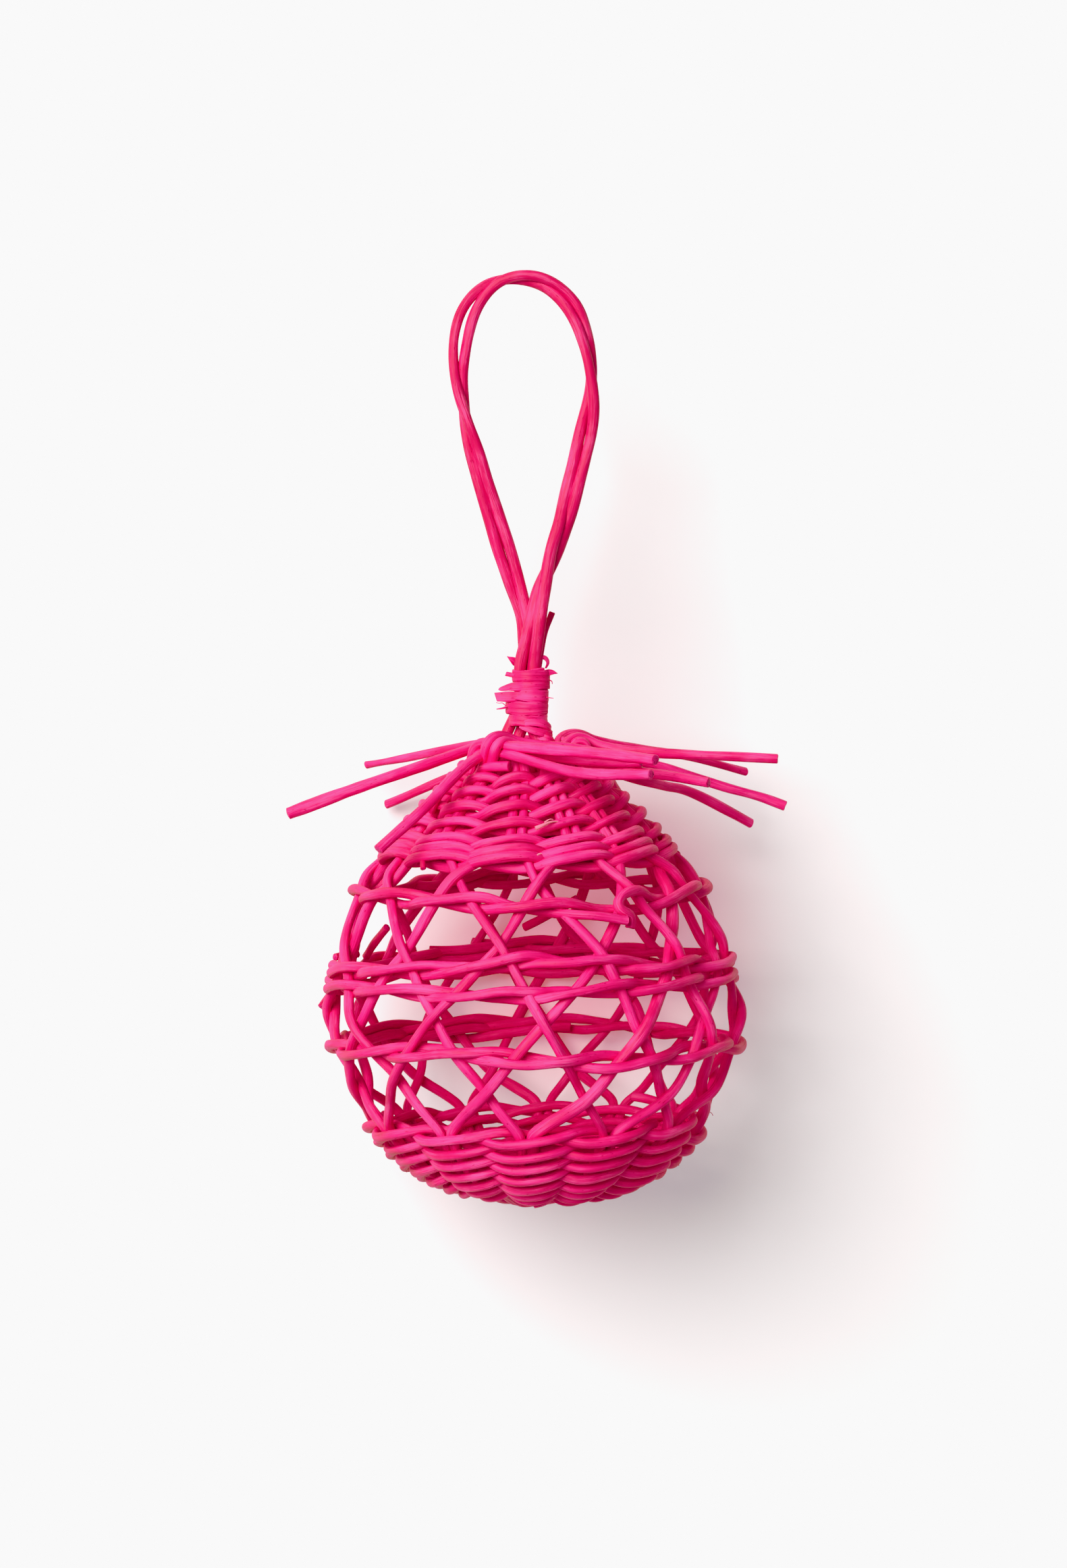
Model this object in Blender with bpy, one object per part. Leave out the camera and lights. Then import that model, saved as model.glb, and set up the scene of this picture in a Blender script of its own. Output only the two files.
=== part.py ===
# A hollow ball ornament woven from round reed, lying on its side with its hanging loop along +Y.
#
# Twelve long stakes cross under the base and rise as twelve pairs. Above the base each pair parts:
# one stake winds to the right, the other to the left, and both join new neighbours in the shoulder.
# Two weavers twine the base, two more twine the shoulder, and four single twined bands hold the
# open lattice between them. Some stake ends stand out round the neck as whiskers. Two reeds twisted
# together make the loop, and a flat strip binds its legs above the neck.
#
# Sizes are in millimetres until a point is placed. In the ball's own frame a point is (x, along, z):
# "along" runs up the ball's axis from the bottom of the base, and an angle of 0 degrees faces +Z.

import math

import bmesh
import bpy
import numpy as np
from mathutils import Vector

MM = 0.001

# How the ornament lies
TILT = 1.5              # degrees by which the neck is higher than the base
LEAN_AT_BASE = 1.0      # sideways lean of the axis: this much to +X at the base,
LEAN_PER_MM = -0.0245   # and this much more for each millimetre up the axis,
LEAN_TOP = 115.0        # as far as the binding
FLAT_SPOT = 0.6         # depth of the flats that it rests on
CUTTER_SIZE = 300.0

# Reeds: half the side of a square of the same area as the round reed
STAKE_HALF = 0.93       # 2.1 mm reed
WEAVER_HALF = 0.80      # 1.8 mm reed
LOOP_HALF = 1.02        # 2.3 mm reed
GAP = 0.32              # between two pieces that touch

# Twelve groups of stakes round the ball
GROUPS = 12
GROUP_STEP = 360.0 / GROUPS
BASE_PHASE = -3.5       # angle of the first pair in the base
RIGHT_WIND = 84.0       # degrees that a right-winding stake turns from base to shoulder
LEFT_WIND = -66.0
CROSSINGS = 4           # times that a stake crosses one of the other hand
PAIR_OFFSET = 1.22      # each stake of a pair from the pair's middle
CROSS_OFFSETS = (1.30, 1.30, 1.30, 1.58)    # each stake in or out where two cross

# The stakes' surface, from the middle of the base up to the neck: radius, height
PROFILE = [
    (0.0, 3.4), (12.0, 4.2), (20.0, 5.9), (27.7, 9.4), (33.7, 15.2), (37.3, 19.6),
    (42.1, 29.5), (46.2, 38.6), (47.4, 46.0), (45.8, 54.5), (43.6, 63.0), (41.0, 70.5),
    (37.4, 77.5), (32.8, 84.0), (27.5, 90.2), (19.1, 98.7), (11.6, 106.2), (10.4, 110.0),
]
PROFILE_STEPS = 16

# Height of the stakes against the share of their winding that is done
WIND_HEIGHTS = [(0.0, 20.6), (0.2, 29.5), (0.4, 46.2), (0.6, 62.8), (0.8, 79.6), (1.0, 89.0)]
# Where a stake is sampled: share of its winding, and which crossing lies there, if one does
WIND_STATIONS = [(0.0, 0), (0.1, 0), (0.2, 1), (0.31, 0), (0.4, 2), (0.48, 0), (0.545, 0),
                 (0.6, 3), (0.735, 0), (0.8, 4), (0.9, 0), (1.0, 0)]

# Twining: two strands, turned half a wave apart, that change sides between the groups
ROW_PITCH = 3.9
STRAND_RISE = 0.975     # each strand above or below its row's middle
STRAND_FLAT = 60.0      # degrees of the wave, either way, that a strand stays out or in
WAVE = GROUPS / 2.0     # waves in one turn
STRAND_OUT = STAKE_HALF + GAP + WEAVER_HALF
BAND_SLACK = 0.50       # a band lies this much further from the stakes' surface
BASE_WEAVE = (15.8, 41.6)         # first and last row, measured along the profile
SHOULDER_WEAVE_HEIGHTS = (86.4, 103.2)
# Bands: height, crossing above it, angle where the strands' ends meet
BANDS = {"band_1": (74.8, 4, 30.0), "band_2": (57.9, 3, 150.0),
         "band_3": (53.7, 3, 165.0), "band_4": (38.6, 2, 170.0)}

# Under the base the reeds cross in three sets of four, one set on another
SETS = 3
SET_LEVEL = 2.2
SET_REACH = 8.3

# Stake ends round the neck. A pair's lower end turns out first; its upper end passes over it.
NECK_PHASE = -39.5
NECK_HEIGHT = 106.6
STUB_RISE = 2.2
BEND = {"lower": (2.4, 2.1), "upper": (6.3, 0.0)}    # rise and outward step before the bend
EVEN_RISE = 2.5         # extra rise of an even pair's upper end, which passes over its neighbour's
BEND_LENGTH = 1.6
WHISKER_TIPS = {        # pair, end: tip in the ball's frame, and thickness against the stake's
    (0, "upper"): ((29.8, 107.6, 45.0), 1.15), (0, "lower"): ((28.6, 104.0, 45.0), 1.0),
    (1, "upper"): ((42.0, 101.5, 35.0), 1.05), (1, "lower"): ((26.5, 105.5, 30.0), 0.9),
    (2, "upper"): ((59.5, 106.4, 2.0), 1.0), (2, "lower"): ((61.6, 95.4, 3.0), 1.15),
    (3, "upper"): ((53.3, 103.0, -30.0), 0.9), (3, "lower"): ((55.2, 90.0, -38.0), 1.0),
    (4, "lower"): ((23.0, 95.0, -50.7), 1.0), (5, "lower"): ((-4.0, 96.0, -50.7), 1.0),
    (6, "upper"): ((-40.0, 104.4, -42.0), 0.85), (6, "lower"): ((-35.5, 94.5, -50.7), 1.0),
    (8, "lower"): ((-57.2, 93.5, 8.0), 1.35), (11, "lower"): ((-34.0, 86.2, 35.0), 1.0),
}
WHISKER_BOW = 1.2

# The loop's middle line, from leg to leg: x, along, z, and the twist of its two reeds in degrees
LOOP_ROUTE = [
    (-12.0, 95.4, -1.5, 0), (-8.0, 101.5, -1.5, 0), (-4.2, 106.8, -1.4, 0), (-1.2, 110.6, -1.3, 0),
    (0.0, 113.3, -1.25, 0), (0.0, 129.5, -1.25, 0), (-0.6, 137.0, -1.7, 5), (-2.6, 144.0, -1.7, 20),
    (-5.8, 155.0, -0.8, 45), (-9.2, 168.0, 0.0, 65), (-12.4, 183.0, 0.0, 82),
    (-14.7, 194.5, 0.0, 115), (-15.3, 205.0, 0.0, 180), (-11.0, 216.0, 0.0, 250),
    (0.0, 221.0, 0.0, 300), (10.8, 216.5, 0.0, 370), (15.4, 206.0, 0.0, 425),
    (16.3, 194.5, 0.0, 465), (15.2, 183.0, 0.0, 510), (12.6, 172.0, 0.0, 560),
    (8.2, 159.0, 0.4, 605), (5.0, 149.0, 1.4, 640), (2.6, 140.0, 1.7, 680),
    (0.6, 132.0, 1.3, 715), (0.0, 129.5, 1.25, 720), (0.0, 113.3, 1.25, 720),
    (1.2, 110.6, 1.3, 720), (4.2, 106.8, 1.4, 720), (8.0, 101.5, 1.5, 720),
    (12.0, 95.4, 1.5, 720),
]
LOOP_REED_OFFSET = 1.30
LOOP_STEPS = 6
LOOP_TURN = 26.0        # degrees of bend and twist between two stations of a reed
LOOP_TURN_PER_MM = 1.0  # counted as turned for each millimetre of length

# The binding: a strip wound round the loop's four strands, and its tail
BINDING_FROM = 113.4
BINDING_TO = 129.2
BINDING_BORE = 3.5
BINDING_TURN_RADII = [4.9, 4.5, 4.3, 4.7, 4.4, 4.6, 4.5, 4.6]
BINDING_GROOVE = 0.3
BINDING_SIDES = 12
TAIL_ROUTE = [(3.6, 128.0, -1.9), (4.0, 130.5, -2.3), (7.2, 141.2, -2.6)]
TAIL_HALF = (0.45, 0.75)


def smooth_route(points, steps):
    # A Catmull-Rom curve through the points
    rows = np.array(points, dtype=float)
    ends = np.vstack([2 * rows[0] - rows[1], rows, 2 * rows[-1] - rows[-2]])
    curve = []
    for a, b, c, d in zip(ends, ends[1:], ends[2:], ends[3:]):
        for t in np.arange(steps) / steps:
            curve.append(0.5 * (2 * b + (c - a) * t + (2 * a - 5 * b + 4 * c - d) * t ** 2
                                + (3 * b - a - 3 * c + d) * t ** 3))
    curve.append(rows[-1])
    return np.array(curve)


class Meridian:
    # The stakes' surface, cut through the axis and measured along its length from the base's middle

    def __init__(self, points, steps):
        curve = smooth_route(points, steps)
        pieces = np.hypot(*np.diff(curve, axis=0).T)
        self.length = np.concatenate([[0.0], np.cumsum(pieces)])
        self.radius, self.height = curve.T
        self.turn_radius = np.gradient(self.radius, self.length)
        self.turn_height = np.gradient(self.height, self.length)

    def at_height(self, height):
        return float(np.interp(height, self.height, self.length))

    def point(self, length, out=0.0):
        radius, height, rise_r, rise_h = (
            float(np.interp(length, self.length, values))
            for values in (self.radius, self.height, self.turn_radius, self.turn_height))
        steep = math.hypot(rise_r, rise_h)
        normal = (rise_h / steep, -rise_r / steep)
        return radius + out * normal[0], height + out * normal[1], normal


ball = Meridian(PROFILE, PROFILE_STEPS)


def on_ball(angle, length, out=0.0, side=0.0):
    # A point near the ball's surface, and the direction straight out of the surface there
    radius, height, normal = ball.point(length, out)
    sine, cosine = math.sin(math.radians(angle)), math.cos(math.radians(angle))
    place = Vector((radius * sine + side * cosine, height, radius * cosine - side * sine))
    return place, Vector((normal[0] * sine, normal[1], normal[0] * cosine))


def lay_down(point):
    # From the ball's frame to the frame of the ornament as it lies, in metres
    lean = LEAN_AT_BASE + LEAN_PER_MM * min(max(point.y, 0.0), LEAN_TOP)
    tilt = math.radians(TILT)
    return MM * Vector((point.x + lean,
                        point.y * math.cos(tilt) - point.z * math.sin(tilt),
                        point.z * math.cos(tilt) + point.y * math.sin(tilt)))


def make_material(name, colour, roughness):
    material = bpy.data.materials.new(name)
    material.use_nodes = True
    shader = material.node_tree.nodes["Principled BSDF"]
    shader.inputs["Base Color"].default_value = (*colour, 1.0)
    shader.inputs["Roughness"].default_value = roughness
    shader.inputs["Metallic"].default_value = 0.0
    return material


def make_object(name, mesh_data, material):
    bmesh.ops.recalc_face_normals(mesh_data, faces=mesh_data.faces)
    mesh = bpy.data.meshes.new(name)
    mesh_data.to_mesh(mesh)
    mesh_data.free()
    mesh.materials.append(material)
    mesh.shade_smooth()
    mesh.set_sharp_from_angle(angle=math.radians(50))
    result = bpy.data.objects.new(name, mesh)
    bpy.context.scene.collection.objects.link(result)
    return result


def square_section(half_out, half_side):
    return [(half_out, half_side), (half_out, -half_side),
            (-half_out, -half_side), (-half_out, half_side)]


def ridge_section(half):
    # Three sides: flat below, where it lies on the row under it
    return [(half, half), (-half, half), (0.0, -half)]


def make_reed(name, stations, section, material):
    # A solid reed through the stations: place, outward direction and scale of its section
    places = [station[0] for station in stations]
    mesh_data = bmesh.new()
    rings = []
    for index, (place, outward, scale) in enumerate(stations):
        before = places[max(index - 1, 0)]
        after = places[min(index + 1, len(places) - 1)]
        across = (after - before).cross(outward).normalized()
        upright = across.cross(after - before).normalized()
        ring = [mesh_data.verts.new(lay_down(place + scale * (u * upright + v * across)))
                for u, v in section]
        rings.append(ring)
    count = len(section)
    for first, second in zip(rings, rings[1:]):
        for corner in range(count):
            following = (corner + 1) % count
            mesh_data.faces.new((first[corner], first[following],
                                 second[following], second[corner]))
    mesh_data.faces.new(rings[0])
    mesh_data.faces.new(rings[-1])
    return make_object(name, mesh_data, material)


# Stakes

def right_is_outside(group, crossing):
    # Which stake lies outside where the right-winding stake of a group makes a crossing
    if crossing == 1:
        return True
    if crossing == 2:
        return group % 2 == 0
    if crossing == 3:
        return False
    return group % 4 in (1, 2)


def winding_stations(group, hand):
    heights = np.array(WIND_HEIGHTS)
    stations = []
    for share, crossing in WIND_STATIONS:
        out = 0.0
        if crossing:
            partner = group if hand > 0 else group - crossing
            outside = right_is_outside(partner % GROUPS, crossing) == (hand > 0)
            out = CROSS_OFFSETS[crossing - 1] * (1.0 if outside else -1.0)
        turn = (RIGHT_WIND if hand > 0 else LEFT_WIND) * share
        height = float(np.interp(share, heights[:, 0], heights[:, 1]))
        side = hand * PAIR_OFFSET * (1.0 - 2.0 * share)
        angle = BASE_PHASE + GROUP_STEP * group + turn
        place, outward = on_ball(angle, ball.at_height(height), out, side)
        stations.append((place, outward, 1.0))
    return stations


def neck_stations(pair, hand):
    angle = NECK_PHASE + GROUP_STEP * pair
    side = -hand * PAIR_OFFSET
    low, high = ball.at_height(WIND_HEIGHTS[-1][1]), ball.at_height(NECK_HEIGHT)
    stations = []
    for length in np.linspace(low, high, 4)[1:]:
        place, outward = on_ball(angle, length, 0.0, side)
        stations.append((place, outward, 1.0))
    end = "upper" if hand > 0 else "lower"
    if (pair, end) not in WHISKER_TIPS:
        place, outward = on_ball(angle, high + STUB_RISE, 0.0, side)
        return stations + [(place, outward, 1.0)]
    tip, thickness = WHISKER_TIPS[(pair, end)]
    rise, step_out = BEND[end]
    if end == "upper" and pair % 2 == 0:
        rise += EVEN_RISE
    radial = Vector((math.sin(math.radians(angle)), 0.0, math.cos(math.radians(angle))))
    start = stations[-1][0]
    corner = start + Vector((0.0, rise, 0.0)) + step_out * radial
    tip = Vector(tip)
    along = (tip - corner).normalized()
    below = corner + BEND_LENGTH * (start - corner).normalized()
    beyond = corner + BEND_LENGTH * along
    middle = corner.lerp(tip, 0.5) + Vector((0.0, WHISKER_BOW, 0.0))
    up = Vector((0.0, 1.0, 0.0))
    return stations + [(below, radial, 1.0), (beyond, up + radial, 1.0),
                       (middle, up, 0.5 * (1.0 + thickness)), (tip, up, thickness)]


def half_stake(group, hand):
    # From the base weave up to the end at the neck
    stations = []
    inner, outer = BASE_WEAVE[0] - 2.0, ball.at_height(WIND_HEIGHTS[0][1])
    for length in np.linspace(inner, outer, 5)[:-1]:
        angle = BASE_PHASE + GROUP_STEP * group
        place, outward = on_ball(angle, length, 0.0, hand * PAIR_OFFSET)
        stations.append((place, outward, 1.0))
    shift = RIGHT_WIND if hand > 0 else LEFT_WIND
    pair = round((BASE_PHASE + GROUP_STEP * group + shift - NECK_PHASE) / GROUP_STEP) % GROUPS
    return stations + winding_stations(group, hand) + neck_stations(pair, hand)


def crossing_station(set_index, lane, end):
    direction = math.radians(BASE_PHASE + GROUP_STEP / 2 + 2 * GROUP_STEP * set_index)
    forward = Vector((math.sin(direction), 0.0, math.cos(direction)))
    sideways = Vector((math.cos(direction), 0.0, -math.sin(direction)))
    height = ball.point(SET_REACH)[1] - (set_index - 1) * SET_LEVEL
    place = end * SET_REACH * forward + lane * PAIR_OFFSET * sideways
    return place + Vector((0.0, height, 0.0)), Vector((0.0, -1.0, 0.0)), 1.0


def make_stakes(material):
    # Each long stake: a half on one side, the crossing under the base, a half on the other side
    lanes = {3: (1, 1, 6, -1), 1: (1, -1, 6, 1), -1: (0, 1, 7, -1), -3: (0, -1, 7, 1)}
    number = 0
    for set_index in range(SETS):
        for lane, (near, near_hand, far, far_hand) in lanes.items():
            number += 1
            first = half_stake((near + 2 * set_index) % GROUPS, near_hand)
            second = half_stake((far + 2 * set_index) % GROUPS, far_hand)
            middle = [crossing_station(set_index, lane, 1), crossing_station(set_index, lane, -1)]
            make_reed(f"stake_{number:02d}", first[::-1] + middle + second,
                      square_section(STAKE_HALF, STAKE_HALF), material)


# Weavers

def strand_station(angle, phase_angle, length, strand, slack=0.0):
    # A point of a twined strand; phase_angle is where the strand's wave starts, outside a group
    wave = (WAVE * (angle - phase_angle) + 180.0 * strand) % 360.0
    outside = math.cos(math.radians(wave)) > 0
    rising = math.sin(math.radians(wave)) > 0
    radius = ball.point(length)[0]
    sagitta = radius * (1.0 - math.cos(math.radians(STRAND_FLAT / WAVE)))
    out = STRAND_OUT + slack + sagitta if outside else -STRAND_OUT - slack
    along = length + (STRAND_RISE if rising else -STRAND_RISE)
    place, outward = on_ball(angle, along, out)
    return place, outward, 1.0


def strand_angles(start, turns):
    # Four angles in each wave, where the strand reaches or leaves its inner or outer side
    quarter = 90.0
    count = int(round(turns * WAVE * 4))
    shift = quarter / 2 - STRAND_FLAT
    return [start + ((index + 0.5) * quarter + (shift if index % 2 else -shift)) / WAVE
            for index in range(count)]


def make_weave(name, phase_angle, lengths, material):
    # Two strands that climb in a coil
    turns = (lengths[1] - lengths[0]) / ROW_PITCH
    for strand, letter in enumerate("ab"):
        stations = []
        for angle in strand_angles(phase_angle, turns):
            climbed = lengths[0] + ROW_PITCH * (angle - phase_angle) / 360.0
            stations.append(strand_station(angle, phase_angle, climbed, strand))
        make_reed(f"{name}_{letter}", stations, ridge_section(WEAVER_HALF), material)


def make_band(name, height, crossing, seam, material):
    # Two strands that go round once; each holds the stakes that cross just above the band
    heights = np.array(WIND_HEIGHTS)
    share = float(np.interp(height, heights[:, 1], heights[:, 0]))
    middle = BASE_PHASE + (RIGHT_WIND + LEFT_WIND) * share / 2 + GROUP_STEP * crossing / 2
    phase_angle = middle + 2 * GROUP_STEP * round((seam - middle) / (2 * GROUP_STEP))
    length = ball.at_height(height)
    for strand, letter in enumerate("ab"):
        stations = [strand_station(angle, phase_angle, length, strand, BAND_SLACK)
                    for angle in strand_angles(phase_angle, 1)]
        last, first = stations[-1], stations[0]
        stations.append((last[0].lerp(first[0], 0.85), first[1], 1.0))
        make_reed(f"{name}_{letter}", stations, square_section(WEAVER_HALF, WEAVER_HALF), material)


# Loop and binding

def loop_stations():
    # Rows of the smooth route, one wherever it has bent and twisted enough since the last
    route = smooth_route(LOOP_ROUTE, LOOP_STEPS)
    steps = np.diff(route, axis=0)
    kept = [route[0]]
    turned = 0.0
    for index in range(1, len(route) - 1):
        bend = math.degrees(Vector(steps[index - 1][:3]).angle(Vector(steps[index][:3])))
        turned += bend + abs(steps[index][3]) + LOOP_TURN_PER_MM * Vector(steps[index][:3]).length
        if turned > LOOP_TURN:
            kept.append(route[index])
            turned = 0.0
    return kept + [route[-1]]


def make_loop(material):
    route = loop_stations()
    for sign, letter in ((1, "a"), (-1, "b")):
        stations = []
        for index, (x, along, z, twist) in enumerate(route):
            after = route[min(index + 1, len(route) - 1)]
            before = route[max(index - 1, 0)]
            forward = Vector(after[:3] - before[:3]).normalized()
            in_plane = Vector((0.0, 0.0, 1.0)).cross(forward).normalized()
            up = forward.cross(in_plane)
            turn = math.radians(twist)
            outward = math.cos(turn) * in_plane + math.sin(turn) * up
            place = Vector((x, along, z)) + sign * LOOP_REED_OFFSET * outward
            stations.append((place, sign * outward, 1.0))
        make_reed(f"loop_reed_{letter}", stations, square_section(LOOP_HALF, LOOP_HALF), material)


def make_binding(material):
    # A sleeve with one ridge for each turn of the strip; the strip's tail is joined to it
    pitch = (BINDING_TO - BINDING_FROM) / len(BINDING_TURN_RADII)
    outline = [(BINDING_TURN_RADII[0] - BINDING_GROOVE, BINDING_FROM)]
    for turn, radius in enumerate(BINDING_TURN_RADII):
        bottom = BINDING_FROM + turn * pitch
        outline.append((radius, bottom + 0.5 * pitch))
        outline.append((radius - BINDING_GROOVE, bottom + pitch))
    outline += [(BINDING_BORE, BINDING_TO), (BINDING_BORE, BINDING_FROM)]
    mesh_data = bmesh.new()
    rings = []
    for side in range(BINDING_SIDES):
        angle = 2 * math.pi * (side + 0.5) / BINDING_SIDES
        rings.append([mesh_data.verts.new(lay_down(Vector(
            (radius * math.sin(angle), along, radius * math.cos(angle)))))
            for radius, along in outline])
    for side, ring in enumerate(rings):
        following = rings[(side + 1) % BINDING_SIDES]
        for index in range(len(outline)):
            after = (index + 1) % len(outline)
            mesh_data.faces.new((ring[index], following[index], following[after], ring[after]))
    binding = make_object("binding", mesh_data, material)

    stations = [(Vector(point), Vector((0.0, 0.0, 1.0)), 1.0) for point in TAIL_ROUTE]
    tail = make_reed("binding_tail", stations, square_section(*TAIL_HALF), material)
    tail.hide_render = True
    tail.display_type = "WIRE"
    join = binding.modifiers.new("tail", "BOOLEAN")
    join.operation = "UNION"
    join.object = tail


# Resting place

def settle(parts):
    # Bring the origin under the middle of the whole, at the height of its flats
    corners = np.array([vertex.co[:] for part in parts for vertex in part.data.vertices])
    lowest, highest = corners.min(axis=0), corners.max(axis=0)
    shift = Vector((lowest + highest) / 2)
    shift.z = lowest[2] + FLAT_SPOT * MM
    for part in parts:
        for vertex in part.data.vertices:
            vertex.co -= shift


def cut_flats(parts):
    # What reaches below the origin's level is cut off flat
    mesh_data = bmesh.new()
    bmesh.ops.create_cube(mesh_data, size=CUTTER_SIZE * MM)
    bmesh.ops.translate(mesh_data, verts=mesh_data.verts,
                        vec=(0.0, 0.0, -CUTTER_SIZE * MM / 2))
    mesh = bpy.data.meshes.new("ground")
    mesh_data.to_mesh(mesh)
    mesh_data.free()
    ground = bpy.data.objects.new("ground", mesh)
    bpy.context.scene.collection.objects.link(ground)
    ground.hide_render = True
    ground.display_type = "WIRE"
    for part in parts:
        if min(vertex.co.z for vertex in part.data.vertices) < 0.0:
            cut = part.modifiers.new("flat", "BOOLEAN")
            cut.operation = "DIFFERENCE"
            cut.object = ground


def main():
    for old in list(bpy.data.objects):
        bpy.data.objects.remove(old, do_unlink=True)
    stake_reed = make_material("stake_reed", (0.83, 0.012, 0.18), 0.55)
    weaver_reed = make_material("weaver_reed", (0.80, 0.010, 0.17), 0.55)
    loop_reed = make_material("loop_reed", (0.85, 0.014, 0.20), 0.50)
    binding_strip = make_material("binding_strip", (0.80, 0.012, 0.19), 0.60)

    make_stakes(stake_reed)
    make_weave("base_weaver", BASE_PHASE, BASE_WEAVE, weaver_reed)
    shoulder = [ball.at_height(height) for height in SHOULDER_WEAVE_HEIGHTS]
    make_weave("shoulder_weaver", NECK_PHASE, shoulder, weaver_reed)
    for name, (height, crossing, seam) in BANDS.items():
        make_band(name, height, crossing, seam, weaver_reed)
    make_loop(loop_reed)
    make_binding(binding_strip)
    parts = list(bpy.data.objects)
    settle(parts)
    cut_flats(parts)


main()
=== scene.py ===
import math

import bpy
import numpy as np
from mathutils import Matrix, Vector


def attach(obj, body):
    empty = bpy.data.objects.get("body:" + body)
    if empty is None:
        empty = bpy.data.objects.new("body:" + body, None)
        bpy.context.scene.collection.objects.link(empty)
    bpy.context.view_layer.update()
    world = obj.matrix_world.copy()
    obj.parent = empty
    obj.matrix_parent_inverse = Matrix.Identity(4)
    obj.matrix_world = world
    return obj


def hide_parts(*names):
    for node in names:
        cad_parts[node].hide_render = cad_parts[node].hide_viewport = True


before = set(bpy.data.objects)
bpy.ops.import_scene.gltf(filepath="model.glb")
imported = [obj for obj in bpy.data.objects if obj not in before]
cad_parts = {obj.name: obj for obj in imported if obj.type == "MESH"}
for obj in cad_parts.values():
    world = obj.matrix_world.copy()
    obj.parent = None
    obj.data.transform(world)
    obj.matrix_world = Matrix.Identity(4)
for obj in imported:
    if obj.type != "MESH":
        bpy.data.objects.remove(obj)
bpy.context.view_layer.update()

# A hollow bauble woven from dyed round reed. Paths are worked out in millimetres in the ball's
# own frame, (x, along, z) with "along" up its axis from the base, and laid down on the floor last.

print("frame loaded:", len(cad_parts), "nodes")
mm = 0.001

lie = {
    "tilt": 1.5,                    # degrees, neck up
    "leanAtBase": 1.0,              # the axis bends a little to the left towards the neck
    "leanPerMm": -0.0245,
    "leanTop": 115.0,
    "origin": (-0.679, -111.754, 48.445),
}


def layDown(points):
    x, along, z = np.asarray(points, float).T
    lean = lie["leanAtBase"] + lie["leanPerMm"] * np.clip(along, 0.0, lie["leanTop"])
    tilt = math.radians(lie["tilt"])
    laid = np.stack([x + lean, along * math.cos(tilt) - z * math.sin(tilt),
                     z * math.cos(tilt) + along * math.sin(tilt)], axis=1)
    return (laid + lie["origin"]) * mm


def smoothRoute(rows, steps=8):
    # A smooth curve through the rows
    rows = np.array(rows, float)
    ends = np.vstack([2 * rows[0] - rows[1], rows, 2 * rows[-1] - rows[-2]])
    t = (np.arange(steps) / steps)[:, None]
    parts = [0.5 * (2 * b + (c - a) * t + (2 * a - 5 * b + 4 * c - d) * t ** 2
                    + (3 * b - a - 3 * c + d) * t ** 3)
             for a, b, c, d in zip(ends, ends[1:], ends[2:], ends[3:])]
    return np.vstack(parts + [rows[-1:]])


def spread(points, step, *values):
    # The same line, with its points a step apart; values go along with them
    pieces = np.linalg.norm(np.diff(points, axis=0), axis=1)
    length = np.concatenate([[0.0], np.cumsum(pieces)])
    count = max(int(round(length[-1] / step)), 2) + 1
    at = np.linspace(0.0, length[-1], count)
    line = np.stack([np.interp(at, length, column) for column in points.T], axis=1)
    return (line, *(np.interp(at, length, value) for value in values))


def relax(points, reach):
    # A springy reed makes no sharp bends: averages over a few points, ends kept
    weights = np.exp(-0.5 * (np.arange(-3 * reach, 3 * reach + 1) / reach) ** 2)
    weights /= weights.sum()
    first = 2 * points[0] - points[3 * reach:0:-1]
    last = 2 * points[-1] - points[-2:-3 * reach - 2:-1]
    padded = np.vstack([first, points, last])
    return np.stack([np.convolve(column, weights, "valid") for column in padded.T], axis=1)


drift = {
    "waves": 6,
    "shared": (5, 42.0, 0.26),      # seed, reach, amount
    "own": (14.0, 0.12),            # reach, amount
    "girth": 0.045,                 # share by which the thickness comes and goes
    "girthPeak": 1.7,
    "girthReaches": (4.1, 11.0, 29.0),
    "girthStep": 0.8,
}


def drifted(points, seed, reach, amount):
    # Nothing woven by hand runs quite true; reeds that share a seed move together
    waves = np.random.default_rng(seed)
    turns = waves.normal(size=(drift["waves"], 3)) / reach * 2.0
    starts = waves.uniform(0.0, math.tau, drift["waves"])
    pushes = waves.normal(size=(drift["waves"], 3)) / math.sqrt(drift["waves"] / 2)
    return points + amount * np.sin(points @ turns.T + starts) @ pushes


ball = {
    "profile": [
        (0, 3.4), (12, 4.2), (20, 5.9), (27.7, 9.4), (33.7, 15.2), (37.3, 19.6),
        (42.1, 29.5), (46.2, 38.6), (47.4, 46), (45.8, 54.5), (43.6, 63), (41, 70.5),
        (37.4, 77.5), (32.8, 84), (27.5, 90.2), (19.1, 98.7), (11.6, 106.2), (10.4, 110)],
    "groups": 12,
    "step": 30.0,                   # degrees between two groups of stakes
    "basePhase": -3.5,
    "neckPhase": -39.5,
    "wind": {1: 84.0, -1: -66.0},   # how far right-hand and left-hand halves go round
}

meridian = smoothRoute(ball["profile"], 24)
meridianLength = np.concatenate([[0.0], np.cumsum(np.hypot(*np.diff(meridian, axis=0).T))])
meridianTurn = np.gradient(meridian, meridianLength, axis=0)
meridianTurn /= np.linalg.norm(meridianTurn, axis=1)[:, None]


def lengthAt(height):
    return np.interp(height, meridian[:, 1], meridianLength)


# How much wider than round the lattice stands on each side, from and up to which share of
# the radius there; the heights between which it does
wider = {-1: (1.3, 0.72, 0.93), 1: (1.8, 0.87, 1.01)}
widerHeights = (3.0, 14.0, 76.0, 84.0)


def ramp(value, low, high):
    # From 0 at low to 1 at high
    share = np.clip((value - low) / (high - low), 0.0, 1.0)
    return share * share * (3.0 - 2.0 * share)


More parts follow.
